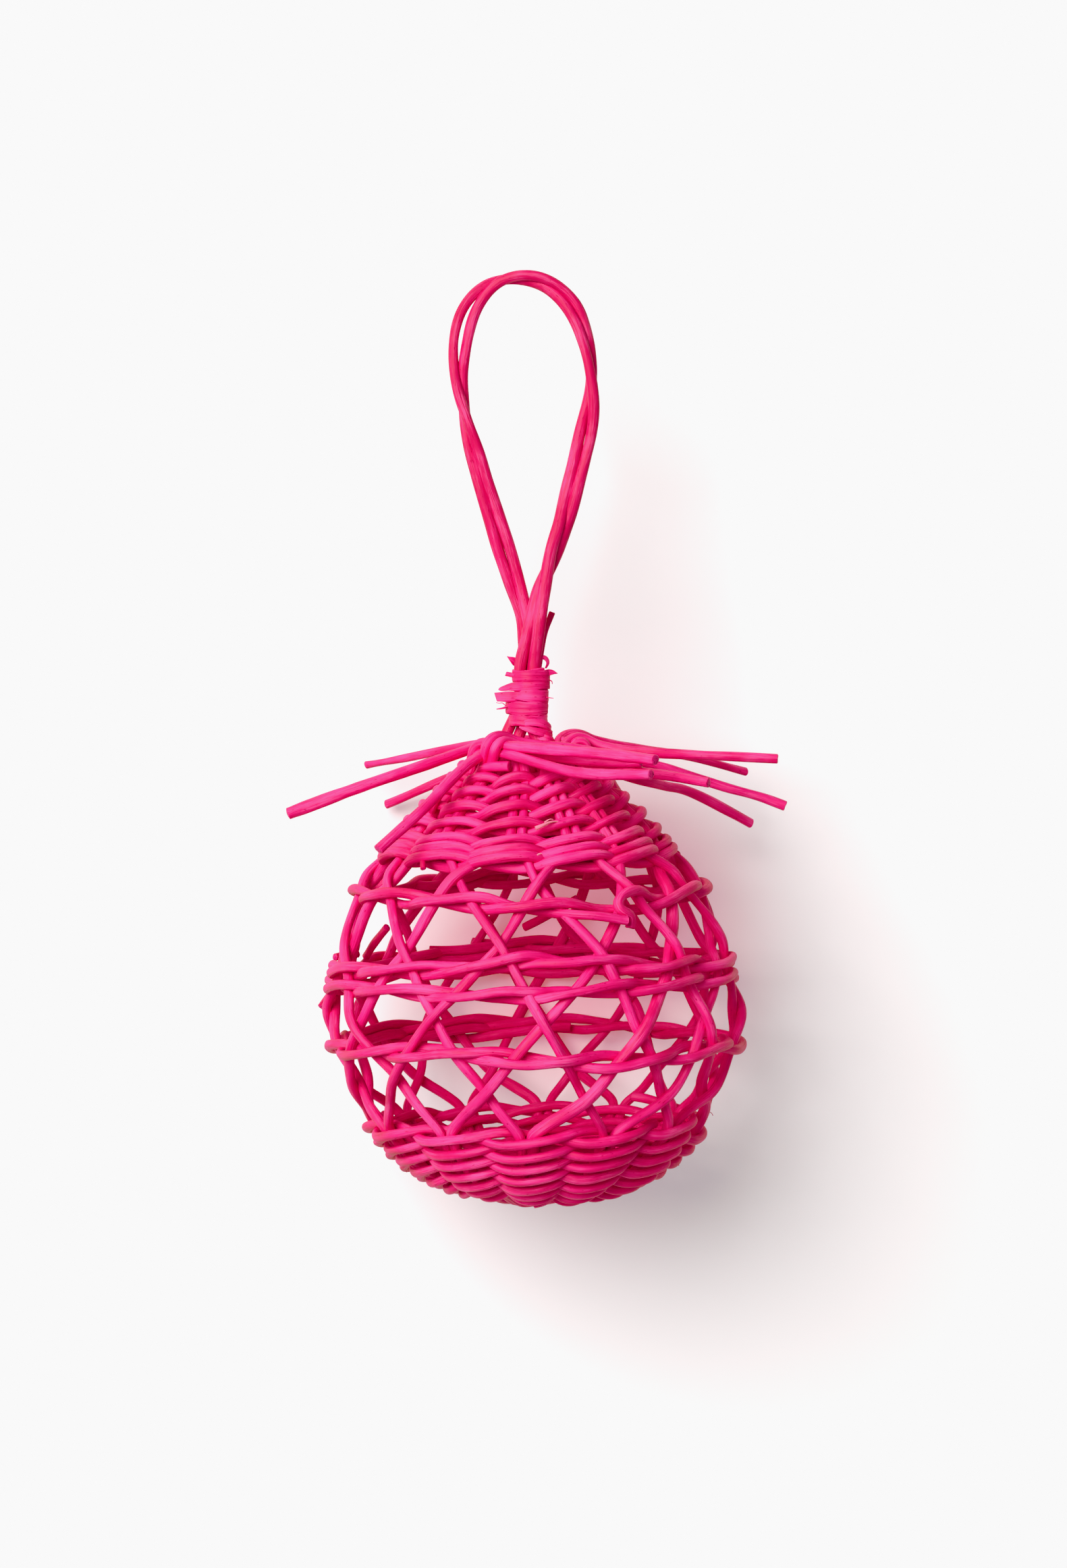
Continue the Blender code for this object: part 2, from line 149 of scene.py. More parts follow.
def widened(points):
    # The lattice bulges a little more to the left and right than a round one
    x, height, depth = np.moveaxis(points, -1, 0)
    low, full, fade, high = widerHeights
    radius = np.interp(height, meridian[:, 1], meridian[:, 0])
    share = ramp(height, low, full) * (1.0 - ramp(height, fade, high))
    for hand, (more, near, far) in wider.items():
        x = x + hand * more * share * ramp(hand * x / radius, near, far)
    return np.stack([x, height, depth], axis=-1)


def onBall(angle, length, out=0.0, side=0.0):
    # At a degree round the axis, a length along the profile, and so far out and aside
    angle = np.radians(angle)
    radius, height, acrossR, acrossH = (np.interp(length, meridianLength, column)
                                        for column in (*meridian.T, *meridianTurn.T))
    radius = radius + out * acrossH
    height = height - out * acrossR
    sine, cosine = np.sin(angle), np.cos(angle)
    return widened(np.stack(np.broadcast_arrays(
        radius * sine + side * cosine, height, radius * cosine - side * sine), axis=-1))


stakes = {
    "thick": 1.18,                  # radius
    "pairOffset": 1.17,
    "crossOffsets": (1.16, 1.16, 1.16, 1.20),
    "heights": [(0, 20.6), (0.2, 29.5), (0.4, 46.2), (0.6, 62.8), (0.8, 79.6), (1, 89)],
    "stations": [(0, 0), (0.1, 0), (0.2, 1), (0.31, 0), (0.4, 2), (0.48, 0), (0.545, 0),
                 (0.6, 3), (0.735, 0), (0.8, 4), (0.9, 0), (1, 0)],
    "innerLength": 13.8,
    "setLevel": 2.2,
    "setReach": 8.3,
    "neckHeight": 106.6,
    "stubRise": (0.6, 2.6),
    "stray": (1.4, 0.7),            # how far a crossing is from its regular place: degrees, mm
    "girthSpread": 0.06,
    "step": 0.8,
    "springy": 2,                   # points over which a bend and the thickness are evened out
    "girthSpringy": 4,
    # Lanes under the base: the group and the hand of the near half, then of the far half
    "lanes": {3: (1, 1, 6, -1), 1: (1, -1, 6, 1), -1: (0, 1, 7, -1), -3: (0, -1, 7, 1)},
}
crossingShift = {                   # (crossing, right-hand group): degrees, mm
    (1, 10): (-1.3, 3.2), (1, 11): (0.7, 1.5), (1, 0): (2.7, 0.9), (1, 1): (3.2, 0),
    (2, 10): (0.4, 1.2), (2, 11): (2.9, 0.9), (2, 0): (1.9, -1.1),
    (3, 9): (0.6, 0.3), (3, 10): (3.1, 1.9), (3, 11): (4.6, -0.6), (3, 0): (3.1, 0.1),
    (4, 8): (-3.2, -1.5), (4, 9): (-1.2, -0.7), (4, 10): (-0.7, -1.7), (4, 11): (2.3, -3.3)}
neckShift = {0: -5, 1: 4, 2: 1, 3: -8}      # degrees, by pair at the neck
# (group, hand): share of the usual thickness at the base and at the neck
girth = {(0, 1): (1.26, 1.08), (11, 1): (1.08, 1), (10, 1): (1.02, 1.06), (9, 1): (0.98, 1),
         (0, -1): (0.96, 0.94), (1, -1): (1, 1.02), (2, -1): (0.98, 0.96)}

# What a stake does above the shoulder, by pair at the neck and hand: its thickness and its
# route over the rim
border = {
    (11, 1): (1.1, (-12.2, 108, 5), (-11.7, 109.9, 6), (-9.7, 111.2, 8), (-6.2, 110.7, 11),
        (3.2, 109.9, 21), (15.6, 108.8, 33), (29.4, 107.2, 45)),
    (11, -1): (0.98, (-12.9, 107.3, 4.5), (-10.3, 108.7, 7), (-6.7, 108.9, 11),
        (-1.6, 107.9, 17), (3.9, 106.3, 23), (11.6, 104.4, 31), (19.3, 103.8, 38),
        (28.3, 103.8, 45)),
    (0, 1): (0.95, (-9.3, 108, 11.5), (-9.4, 110, 12.8), (-8.5, 111.8, 12.8),
        (-6.6, 112.8, 11), (-4.2, 112.5, 9), (-1.9, 111.2, 7.6), (11.2, 109.3, 7.6),
        (27.2, 106.1, 6), (44.7, 100.3, 4), (61, 95.3, 3)),
    (0, -1): (0.96, (-7.3, 108, 12.8), (-7.4, 109.6, 14.2), (-6.2, 111.3, 14),
        (-4.4, 111.9, 12), (-1.9, 110.6, 11), (7.9, 108.1, 14), (18.9, 105.5, 21),
        (29.7, 103.5, 28), (41.6, 101.3, 35)),
    (1, 1): (1.06, (-2.4, 108.6, 9), (-5, 109.6, 7.6), (-8, 109.2, 8), (-10.9, 107.6, 11.5),
        (-14.4, 105, 16), (-22.3, 97.4, 25), (-34, 86, 35)),
    (1, -1): (0.86, (-1.4, 108.3, 12), (0, 109.2, 12.6), (4.7, 108, 16), (14.2, 106.7, 20.5),
        (22, 106, 24), (26.6, 105.9, 27)),
    (2, 1): (0.95, (7.4, 108.8, 6), (9.3, 110.7, 3), (11.7, 112.4, 1), (14.2, 111.8, 0),
        (17.1, 109.8, 0), (28.9, 107.9, 1), (59.3, 106.3, 2)),
    (2, -1): (0.98, (5.1, 108.4, 10), (11.2, 106.4, 4), (19.3, 103.8, -4),
        (26.7, 101.5, -12), (33.4, 99.7, -20), (38.7, 98.5, -26), (54.8, 90, -38)),
    (3, 1): (0.86, (8, 109.1, 4), (7, 110.8, 1), (8.9, 112.5, -2), (11.4, 113.2, -4),
        (14, 112.3, -6), (16.9, 110.8, -8), (37.6, 107.2, -18), (53.3, 103, -30)),
    (3, -1): (1, (10.6, 109.4, 3), (10.6, 111, 3.4), (12.4, 111.7, 3.2), (14.2, 110.6, 2.6),
        (14.6, 108.6, 2), (13.6, 106.8, 1.8)),
    (4, 1): (0.92, (9.4, 109, 0.5), (7.2, 110.8, 0), (8.9, 111.8, 0.2), (10.6, 110.8, -0.2),
        (11.4, 108.8, -1)),
    (4, -1): (0.95, (13.8, 109.4, -3), (16, 108, -14), (20, 101, -34), (23, 95, -47.2)),
    (5, -1): (0.95, (9.8, 109.8, -5.5), (6, 108.6, -18), (-1, 101.6, -37), (-4, 96, -47.4)),
    (6, 1): (0.8, (6, 109.6, -9.6), (1, 111.2, -13), (-9, 110.4, -18.5), (-24, 107.8, -30),
        (-40, 104.4, -42)),
    (6, -1): (0.92, (6.2, 108.8, -11), (0, 108.4, -18), (-16, 102.8, -36),
        (-35.5, 94.6, -47.6)),
    (8, -1): (1.27, (-5.4, 109.4, -9.6), (-10.2, 110, -7), (-15, 108.6, -3), (-32, 102.6, 4),
        (-57, 93.7, 8)),
}
dice = np.random.default_rng(11)
for crossing in (1, 2, 3, 4):
    for group in range(ball["groups"]):
        crossingShift.setdefault((crossing, group), tuple(dice.normal(size=2) * stakes["stray"]))
for group in range(ball["groups"]):
    for hand in (1, -1):
        girth.setdefault((group, hand), tuple(1.0 + dice.normal(size=2) * stakes["girthSpread"]))


def rightIsOutside(group, crossing):
    # Whether the right-hand half lies outside where two cross
    return {1: True, 2: group % 2 == 0, 3: False, 4: group % 4 in (1, 2)}[crossing]


def neckPair(group, hand):
    angle = ball["basePhase"] + ball["step"] * group + ball["wind"][hand] - ball["neckPhase"]
    return round(angle / ball["step"]) % ball["groups"]


def windingPart(group, hand):
    # From the base through the lattice to the shoulder, with the thickness along it
    outs, shifts = [], [(0.0, 0.0, 0.0)]
    for share, crossing in stakes["stations"]:
        out = 0.0
        if crossing:
            rightHand = (group if hand > 0 else group - crossing) % ball["groups"]
            outside = rightIsOutside(rightHand, crossing) == (hand > 0)
            out = stakes["crossOffsets"][crossing - 1] * (1.0 if outside else -1.0)
            shifts.append((share, *crossingShift[(crossing, rightHand)]))
        outs.append((share, out))
    shifts.append((1.0, neckShift.get(neckPair(group, hand), 0.0), 0.0))
    share, out = smoothRoute(outs, 10).T
    heights = smoothRoute(stakes["heights"], 20)
    shifts = smoothRoute(shifts, 12)
    height = np.interp(share, heights[:, 0], heights[:, 1])
    height += np.interp(share, shifts[:, 0], shifts[:, 2])
    angle = ball["basePhase"] + ball["step"] * group + ball["wind"][hand] * share
    angle += np.interp(share, shifts[:, 0], shifts[:, 1])
    side = hand * stakes["pairOffset"] * (1.0 - 2.0 * share)
    low, high = girth[(group, hand)]
    return onBall(angle, lengthAt(height), out, side), low + (high - low) * share


def neckPart(pair, hand):
    # Through the shoulder, and over the rim or cut off there, with the thickness of its end
    angle = ball["neckPhase"] + ball["step"] * pair + neckShift.get(pair, 0.0)
    side = -hand * stakes["pairOffset"]
    low, high = lengthAt(stakes["heights"][-1][1]), lengthAt(stakes["neckHeight"])
    points = onBall(angle, np.linspace(low, high, 24)[1:-3], 0.0, side)
    if (pair, hand) not in border:
        stub = onBall(angle, high + dice.uniform(*stakes["stubRise"]), 0.0, side)
        return np.vstack([points, stub]), 1.0
    thick, *route = border[(pair, hand)]
    return np.vstack([points, smoothRoute(route)]), thick


def halfStake(group, hand):
    # From near the middle of the base to the tip
    outer = lengthAt(stakes["heights"][0][1])
    along = np.linspace(stakes["innerLength"], outer, 30)[:-1]
    angle = ball["basePhase"] + ball["step"] * group
    low = onBall(angle, along, 0.0, hand * stakes["pairOffset"])
    wind, thick = windingPart(group, hand)
    high, whisker = neckPart(neckPair(group, hand), hand)
    thick = np.concatenate([np.full(len(low), thick[0]), thick,
                            np.linspace(thick[-1], whisker, len(high))])
    return np.vstack([low, wind, high]), thick


def underBase(setIndex, lane):
    direction = math.radians(ball["basePhase"] + ball["step"] * (0.5 + 2 * setIndex))
    forward = np.array([math.sin(direction), 0.0, math.cos(direction)])
    sideways = np.array([math.cos(direction), 0.0, -math.sin(direction)])
    height = np.interp(stakes["setReach"], meridianLength, meridian[:, 1])
    height -= (setIndex - 1) * stakes["setLevel"]
    return np.array([end * stakes["setReach"] * forward + lane * stakes["pairOffset"] * sideways
                     + (0.0, height, 0.0) for end in (1, -1)])


def stakePaths():
    # Three sets of four stakes cross under the base; each stake's halves wind different ways
    paths = []
    for setIndex in range(3):
        for lane, (near, nearHand, far, farHand) in stakes["lanes"].items():
            first, thickFirst = halfStake((near + 2 * setIndex) % ball["groups"], nearHand)
            second, thickSecond = halfStake((far + 2 * setIndex) % ball["groups"], farHand)
            line = np.vstack([first[::-1], underBase(setIndex, lane), second])
            thick = np.concatenate([thickFirst[::-1], [thickFirst[0], thickSecond[0]],
                                    thickSecond])
            line, thick = spread(line, stakes["step"], thick)
            thick = relax(thick[:, None], stakes["girthSpringy"])[:, 0]
            paths.append((relax(line, stakes["springy"]), stakes["thick"] * thick))
    return paths


weavers = {
    "rise": 0.92,
    "out": 2.14,
    "snap": 1.5,                    # how quickly a strand changes sides
    "riseSnap": 0.9,
    "step": 0.8,
    "springy": 2,
    # where each turn stands along the profile, the turns made, and the strands' radius
    "base": ([15.8, 19.7, 23.6, 27.5, 31.4, 35.4, 39.4, 43.3, 46.6],
             ((0.0, 7.40), (0.0, 7.15)), 1.10),
    "shoulder": ([109.4, 111.7, 114.1, 116.8, 121.9, 127.2, 132.4, 136.8, 140.7],
                 ((0.62, 7.95), (0.40, 7.62)), 1.20),
}
bands = {
    # height, crossing held, radius, strands as first and last degree, sway as degree and mm
    "band_1": (74.8, 4, 1.2, ((185, 590), (51, 367)), [(-120, 0), (-60, -0.7), (-20, -0.6),
        (0, -1.5), (24, -2.2), (45, -1.2), (68, 0.6), (120, 0.4), (180, 0.6)]),
    "band_2": (57.9, 3, 1.12, ((150, 575), (172, 560)), [(-135, 0), (-110, -2.4), (-85, -1.8),
        (-44, -0.5), (-28, 0.6), (-14, 1.7), (0, 3.4), (13, 2.7), (28, 2.1), (44, 1.2), (110, 0.3),
        (180, -0.3)]),
    "band_3": (53.7, 3, 1.1, ((165, 560), (150, 556)), [(-135, 0.3), (-110, -2), (-85, -1.4),
        (-50, -0.7), (-27, -0.8), (-18, -0.7), (-8, -0.3), (0, -0.5), (12, 0.6), (26, 1.2),
        (42, 1.3), (85, 1.2), (110, 0), (180, 0.4)]),
    "band_4": (38.6, 2, 1.15, ((168, 614), (186, 590)), [(-120, 0.2), (-90, 0.4), (-65, -0.5),
        (-50, -0.2), (-35, 0.9), (-27, 1.2), (-14, 0.8), (0, 0), (12, -0.5), (26, -0.4), (42, 0),
        (63, 1), (88, 0), (120, 0.3), (180, 0)]),
}
overlap = {"apart": 1.15, "fade": 30.0}     # where a strand's two ends lie side by side
# Ends of single strands: degree, height, distance from the surface
hook = [(32.5, 68, 1.3), (33.2, 69.4, 1.7), (33.4, 70.4, 2.4), (31.6, 70.6, 3.2),
        (28.8, 70.8, 3.5), (27, 71.9, 3.6), (28.8, 73.6, 3.7), (33, 74.9, 3.8),
        (38, 75.4, 3), (42.5, 75.3, 0.9), (47.5, 74.9, -1.3)]
cutEndBand = [(14, 71.2, 1.8), (21.5, 70.1, 2.9), (30, 69, 3.5)]
cutEndShoulder = [(-43, 103.9, 1.9), (-29, 103.9, 2.5), (-14.5, 103.7, 2.9)]
# Loose hairs at the edge of the base: route, first radius, last radius
hairs = [
    ([(40.2, 21.4, 0), (41.4, 21.7, 0.3), (42.2, 21.3, 0.4), (42.5, 20.7, 0.4)], 0.12, 0.07),
    ([(31.6, 10.9, 0), (32.9, 10.5, 0.4), (33.6, 9.8, 0.6), (33.7, 9.1, 0.6)], 0.13, 0.07),
    ([(-29.6, 11, 0), (-30.8, 10.2, 0.4), (-31.3, 9, 0.6), (-31.2, 7.8, 0.6)], 0.12, 0.06),
]
# Splinters where the skin of a shoulder reed has torn: degree, length along the profile and
# distance from the surface; first radius, last radius
splinters = [
    ([(3.2, 119.9, 2.8), (6.8, 120.4, 3.2), (10.5, 121.2, 3.2), (14.5, 121.7, 2.7)], 0.55, 0.15),
    ([(8.5, 121.3, 3.1), (10.8, 121.9, 3.4), (12.6, 122, 3.2)], 0.24, 0.1),
    ([(3.2, 111.8, 3.2), (4, 112, 3.4), (4.9, 112.1, 3.3)], 0.22, 0.12),
]
# Short ends of reeds that the weave holds: route, radius, tone; the low tones paint shade on ends
# that lie in the shade of the reeds around them
pokingEnds = [
    ([(-43.8, 55.2, -18), (-47.9, 51, -13), (-51.4, 46.6, -9)], 0.86, -2.6),
    ([(-42.5, 58.9, -17), (-45.2, 58.9, -13.5), (-47.6, 58.6, -10.5)], 0.84, -3.2),
    ([(-40.6, 58, -21), (-38.3, 61.4, -15.5), (-34.8, 65.4, -9.5)], 0.92, -0.6),
    ([(11, 73.8, 14), (4.8, 70, 8), (-1.5, 66.4, 3)], 0.95, -4),
    ([(-22.1, 94.6, 11.6), (-21.3, 96.8, 13.6), (-20, 98.9, 15)], 0.98, -0.8),
    ([(-24.7, 85.2, 23.6), (-24.4, 83.2, 26), (-24.3, 81.5, 27.6)], 0.66, -2.6),
]


def strandPath(angle, phase, length, strand):
    # One of two strands that twine: over a pair of stakes, then under the next
    wave = np.radians(ball["groups"] / 2 * (angle - phase) + 180.0 * strand)
    snap, riseSnap = weavers["snap"], weavers["riseSnap"]
    out = weavers["out"] * np.tanh(snap * np.cos(wave)) / math.tanh(snap)
    rise = weavers["rise"] * np.tanh(riseSnap * np.sin(wave)) / math.tanh(riseSnap)
    return onBall(angle, length + rise, out)


def surfaceRoute(rows):
    # Through rows of degree, height and distance from the surface
    angle, height, out = smoothRoute(rows).T
    return onBall(angle, lengthAt(height), out)


def woven(line, thick):
    line, = spread(line, weavers["step"])
    return relax(line, weavers["springy"]), np.full(len(line), thick)


def weavePaths(phase, rows, spans, thick, lastRoute=()):
    # Two strands that coil round together, row upon row
    turns = smoothRoute(list(enumerate(rows)), 30)
    paths = []
    for strand, (first, last) in enumerate(spans):
        angle = phase + np.arange(360.0 * first, 360.0 * last, 1.0)
        length = np.interp((angle - phase) / 360.0, turns[:, 0], turns[:, 1])
        line = strandPath(angle, phase, length, strand)
        if strand == 0 and lastRoute:
            line = np.vstack([line, surfaceRoute(lastRoute)])
        paths.append(woven(line, thick))
    return paths


def swayAt(angle, table):
    # Goes smoothly from one value of the table to the next, round the ball
    places, values = np.array(sorted(table), float).T
    places = np.concatenate([places[-1:] - 360.0, places, places[:1] + 360.0])
    values = np.pad(values, 1, "wrap")
    around = (angle - places[0]) % 360.0 + places[0]
    which = np.clip(np.searchsorted(places, around, "right") - 1, 0, len(places) - 2)
    share = (around - places[which]) / (places[which + 1] - places[which])
    share = (1.0 - np.cos(np.pi * share)) / 2.0
    return values[which] + (values[which + 1] - values[which]) * share


def bandPaths(name):
    # A single twined row; where a strand goes more than once round, its ends lie side by side
    height, crossing, thick, spans, sway = bands[name]
    heights = np.array(stakes["heights"])
    share = np.interp(height, heights[:, 1], heights[:, 0])
    phase = ball["basePhase"] + sum(ball["wind"].values()) * share / 2
    phase += ball["step"] * crossing / 2
    paths = []
    for strand, (first, last) in enumerate(spans):
        angle = np.arange(first, last, 1.0)
        level = height + swayAt(angle, sway)
        for past, aside in ((last - 360.0 - angle, -1), (angle - first - 360.0, 1)):
            beside = np.clip(past / overlap["fade"] + 1.0, 0.0, 1.0)
            level = level + aside * overlap["apart"] * beside * (last - first > 360.0)
        line = strandPath(angle, phase, lengthAt(level), strand)
        if name == "band_1" and strand == 1:
            line = np.vstack([surfaceRoute(hook)[:-1], line, surfaceRoute(cutEndBand)])
        paths.append(woven(line, thick))
    return paths


loop = {
    "apart": 1.93,                  # between the middles of the two reeds, in radii
    "tone": -1.4,                   # lower is darker
    "step": 0.8,
    "springy": 3,
    "route": [
        # x and along of the first reed, of the second, z, 1 where the first lies above, radius
        (-10.4, 96, -12.8, 96.6, -1.5, 0, 1.25), (-7.8, 101, -10.2, 101.8, -1.5, -0.5, 1.25),
        (-5.2, 105.8, -7.6, 106.6, -1.5, -1, 1.25), (-3.1, 109.6, -5.4, 110.6, -1.3, -1, 1.25),
        (-1.5, 112.9, -3.9, 113.9, -1.2, -1, 1.25), (0.2, 117, -2, 117.4, -1.3, -0.5, 1.25),
        (1.3, 121.2, -1, 121.2, -1.4, 0, 1.25), (1.4, 126, -0.8, 126, -1.4, 0, 1.25),
        (1.2, 129.1, -0.7, 129.1, -1.4, 1, 1.25), (0.8, 135.2, -0.8, 135.2, -1.6, 1, 1.26),
        (0, 140.6, -1.6, 140.6, -1.7, 1, 1.26), (-1.1, 145.9, -3.4, 145.9, -1.6, 1, 1.27),
        (-2.4, 151.3, -5, 151.3, -1.3, 1, 1.27), (-3.9, 156.6, -6.8, 156.6, -1, 1, 1.28),
        (-5.7, 162, -8.5, 162, -0.8, 1, 1.28), (-7.4, 167.3, -10, 167.3, -0.6, 1, 1.29),
        (-9.2, 172.7, -11.5, 172.7, -0.4, 1, 1.29), (-10.5, 178, -12.6, 178, -0.2, 1, 1.3),
        (-11.4, 180.7, -13.3, 180.7, -0.1, 1, 1.28), (-12.7, 184.4, -13.8, 184.4, 0, 1, 1.27),
        (-14, 188.2, -14.2, 188.2, 0, 1, 1.25), (-15.2, 191.9, -14.3, 191.9, 0, 1, 1.24),
        (-16.2, 195.6, -14.4, 195.6, 0, 1, 1.23), (-16.7, 199.4, -14.5, 199.4, 0, 1, 1.21),
        (-16.9, 204.7, -14.1, 204.7, 0, 0, 1.2), (-16.5, 208.4, -13.5, 208.4, 0, 0, 1.19),
        (-15.4, 212.7, -12.2, 212.7, 0, 0, 1.18), (-13.9, 215.4, -11, 215.1, 0, 0, 1.19),
        (-11.7, 218, -9.1, 217.8, 0, -1, 1.2), (-9, 219.8, -6.8, 219.8, 0, -1, 1.21),
        (-5.8, 220.7, -4.7, 220.9, 0, -1, 1.21), (-2, 220.9, -1.7, 221.6, 0, -1, 1.22),
        (1.2, 220.4, 1.7, 221.5, 0, -1, 1.23), (4.4, 219.1, 5.2, 220.7, 0, -1, 1.24),
        (7.6, 216.9, 9.2, 218.4, 0, -0.4, 1.25), (10.7, 213.1, 12.6, 214.6, 0, 0.6, 1.25),
        (13, 208.4, 14.8, 208.4, 0, 1, 1.25), (14.6, 203.6, 15.6, 203.4, 0, 1, 1.25),
        (15.5, 199.4, 15.9, 199.1, 0, 1, 1.25), (16, 195.6, 15.6, 195.6, 0, 1, 1.25),
        (16.3, 191.9, 14.9, 191.9, 0, 1, 1.27), (16.2, 188.7, 14, 188.7, 0, 1, 1.3),
        (15.4, 183.4, 12.7, 183.4, 0, 0, 1.33), (14, 178, 11.2, 178, 0.1, 0, 1.35),
        (12.6, 172.7, 9.8, 172.7, 0.3, 0, 1.37), (11.1, 167.3, 8.4, 167.3, 0.5, 0, 1.39),
        (9.3, 162, 7.1, 162, 0.8, -1, 1.41), (7.2, 156.6, 5.6, 156.6, 1.1, -1, 1.44),
        (5, 151.3, 4.6, 151.3, 1.4, -1, 1.46), (2.8, 146.5, 3.9, 146.5, 1.6, -1, 1.48),
        (1.2, 140.6, 3, 140.6, 1.6, -1, 1.5), (-0.3, 134.7, 2.2, 134.7, 1.4, -1, 1.47),
        (-1.8, 129.1, 1.6, 129.1, 1.3, 0, 1.44), (-1.4, 125, 1.5, 125, 1.3, 0, 1.3),
        (-1.1, 121, 1.6, 121, 1.3, 0, 1.3), (0.1, 117, 2.7, 117.3, 1.3, 0, 1.3),
        (1.8, 113, 4.2, 113.7, 1.3, 0, 1.3), (3.6, 109.6, 6, 110.4, 1.4, 0, 1.3),
        (5.8, 105.4, 8.2, 106.2, 1.5, 0, 1.3), (8.2, 100.8, 10.6, 101.6, 1.5, 0, 1.3),
        (10.4, 96, 12.8, 96.6, 1.5, 0, 1.3)],
    "stub": [(2.4, 120, -1.6), (2.5, 126, -1.2), (2.8, 129.2, -1.6), (4, 134.8, -3),
             (4.9, 138, -3.6), (6.1, 141.3, -4.2)],
    "stubThick": 0.74,
    # low, which paints shade on the stub
    "stubShadeTone": -3,
}


def loopPaths():
    # Two reeds that lie over one another as far as the distance between them in plan allows
    rows = smoothRoute(loop["route"])
    between = np.hypot(rows[:, 0] - rows[:, 2], rows[:, 1] - rows[:, 3])
    apart = loop["apart"] * rows[:, 6]
    raised = rows[:, 5] * np.sqrt(np.clip(apart ** 2 - between ** 2, 0.0, None)) / 2
    paths = []
    for first, sign in ((0, 1), (2, -1)):
        line = np.stack([rows[:, first], rows[:, first + 1], rows[:, 4] + sign * raised], axis=1)
        line, thick = spread(line, loop["step"], rows[:, 6])
        paths.append((relax(line, loop["springy"]), thick))
    return paths


# Flat strips wound round the foot of the loop
binding = {
    "middle": [(113.0, 0.9), (116.0, 0.6), (120.3, 0.75), (124.0, 1.2), (128.0, 1.26)],
    "radius": (4.1, 3.5),           # across and towards the eye
    "slantReach": 3.2,
    "step": 0.4,
    "leastWide": 0.05,
    "waver": 0.07,                  # share by which the width comes and goes
    "waverReaches": (0.9, 2.3),
}


def wound(*rows):
    # From degree, height, lift and half width to x, along, z, half width and facing
    placed = []
    for degree, height, lift, wide in rows:
        angle = math.radians(degree)
        middle = np.interp(height, *zip(*binding["middle"]))
        placed.append((middle + (binding["radius"][0] + lift) * math.sin(angle), height,
                       (binding["radius"][1] + lift) * math.cos(angle), wide, degree))
    return placed


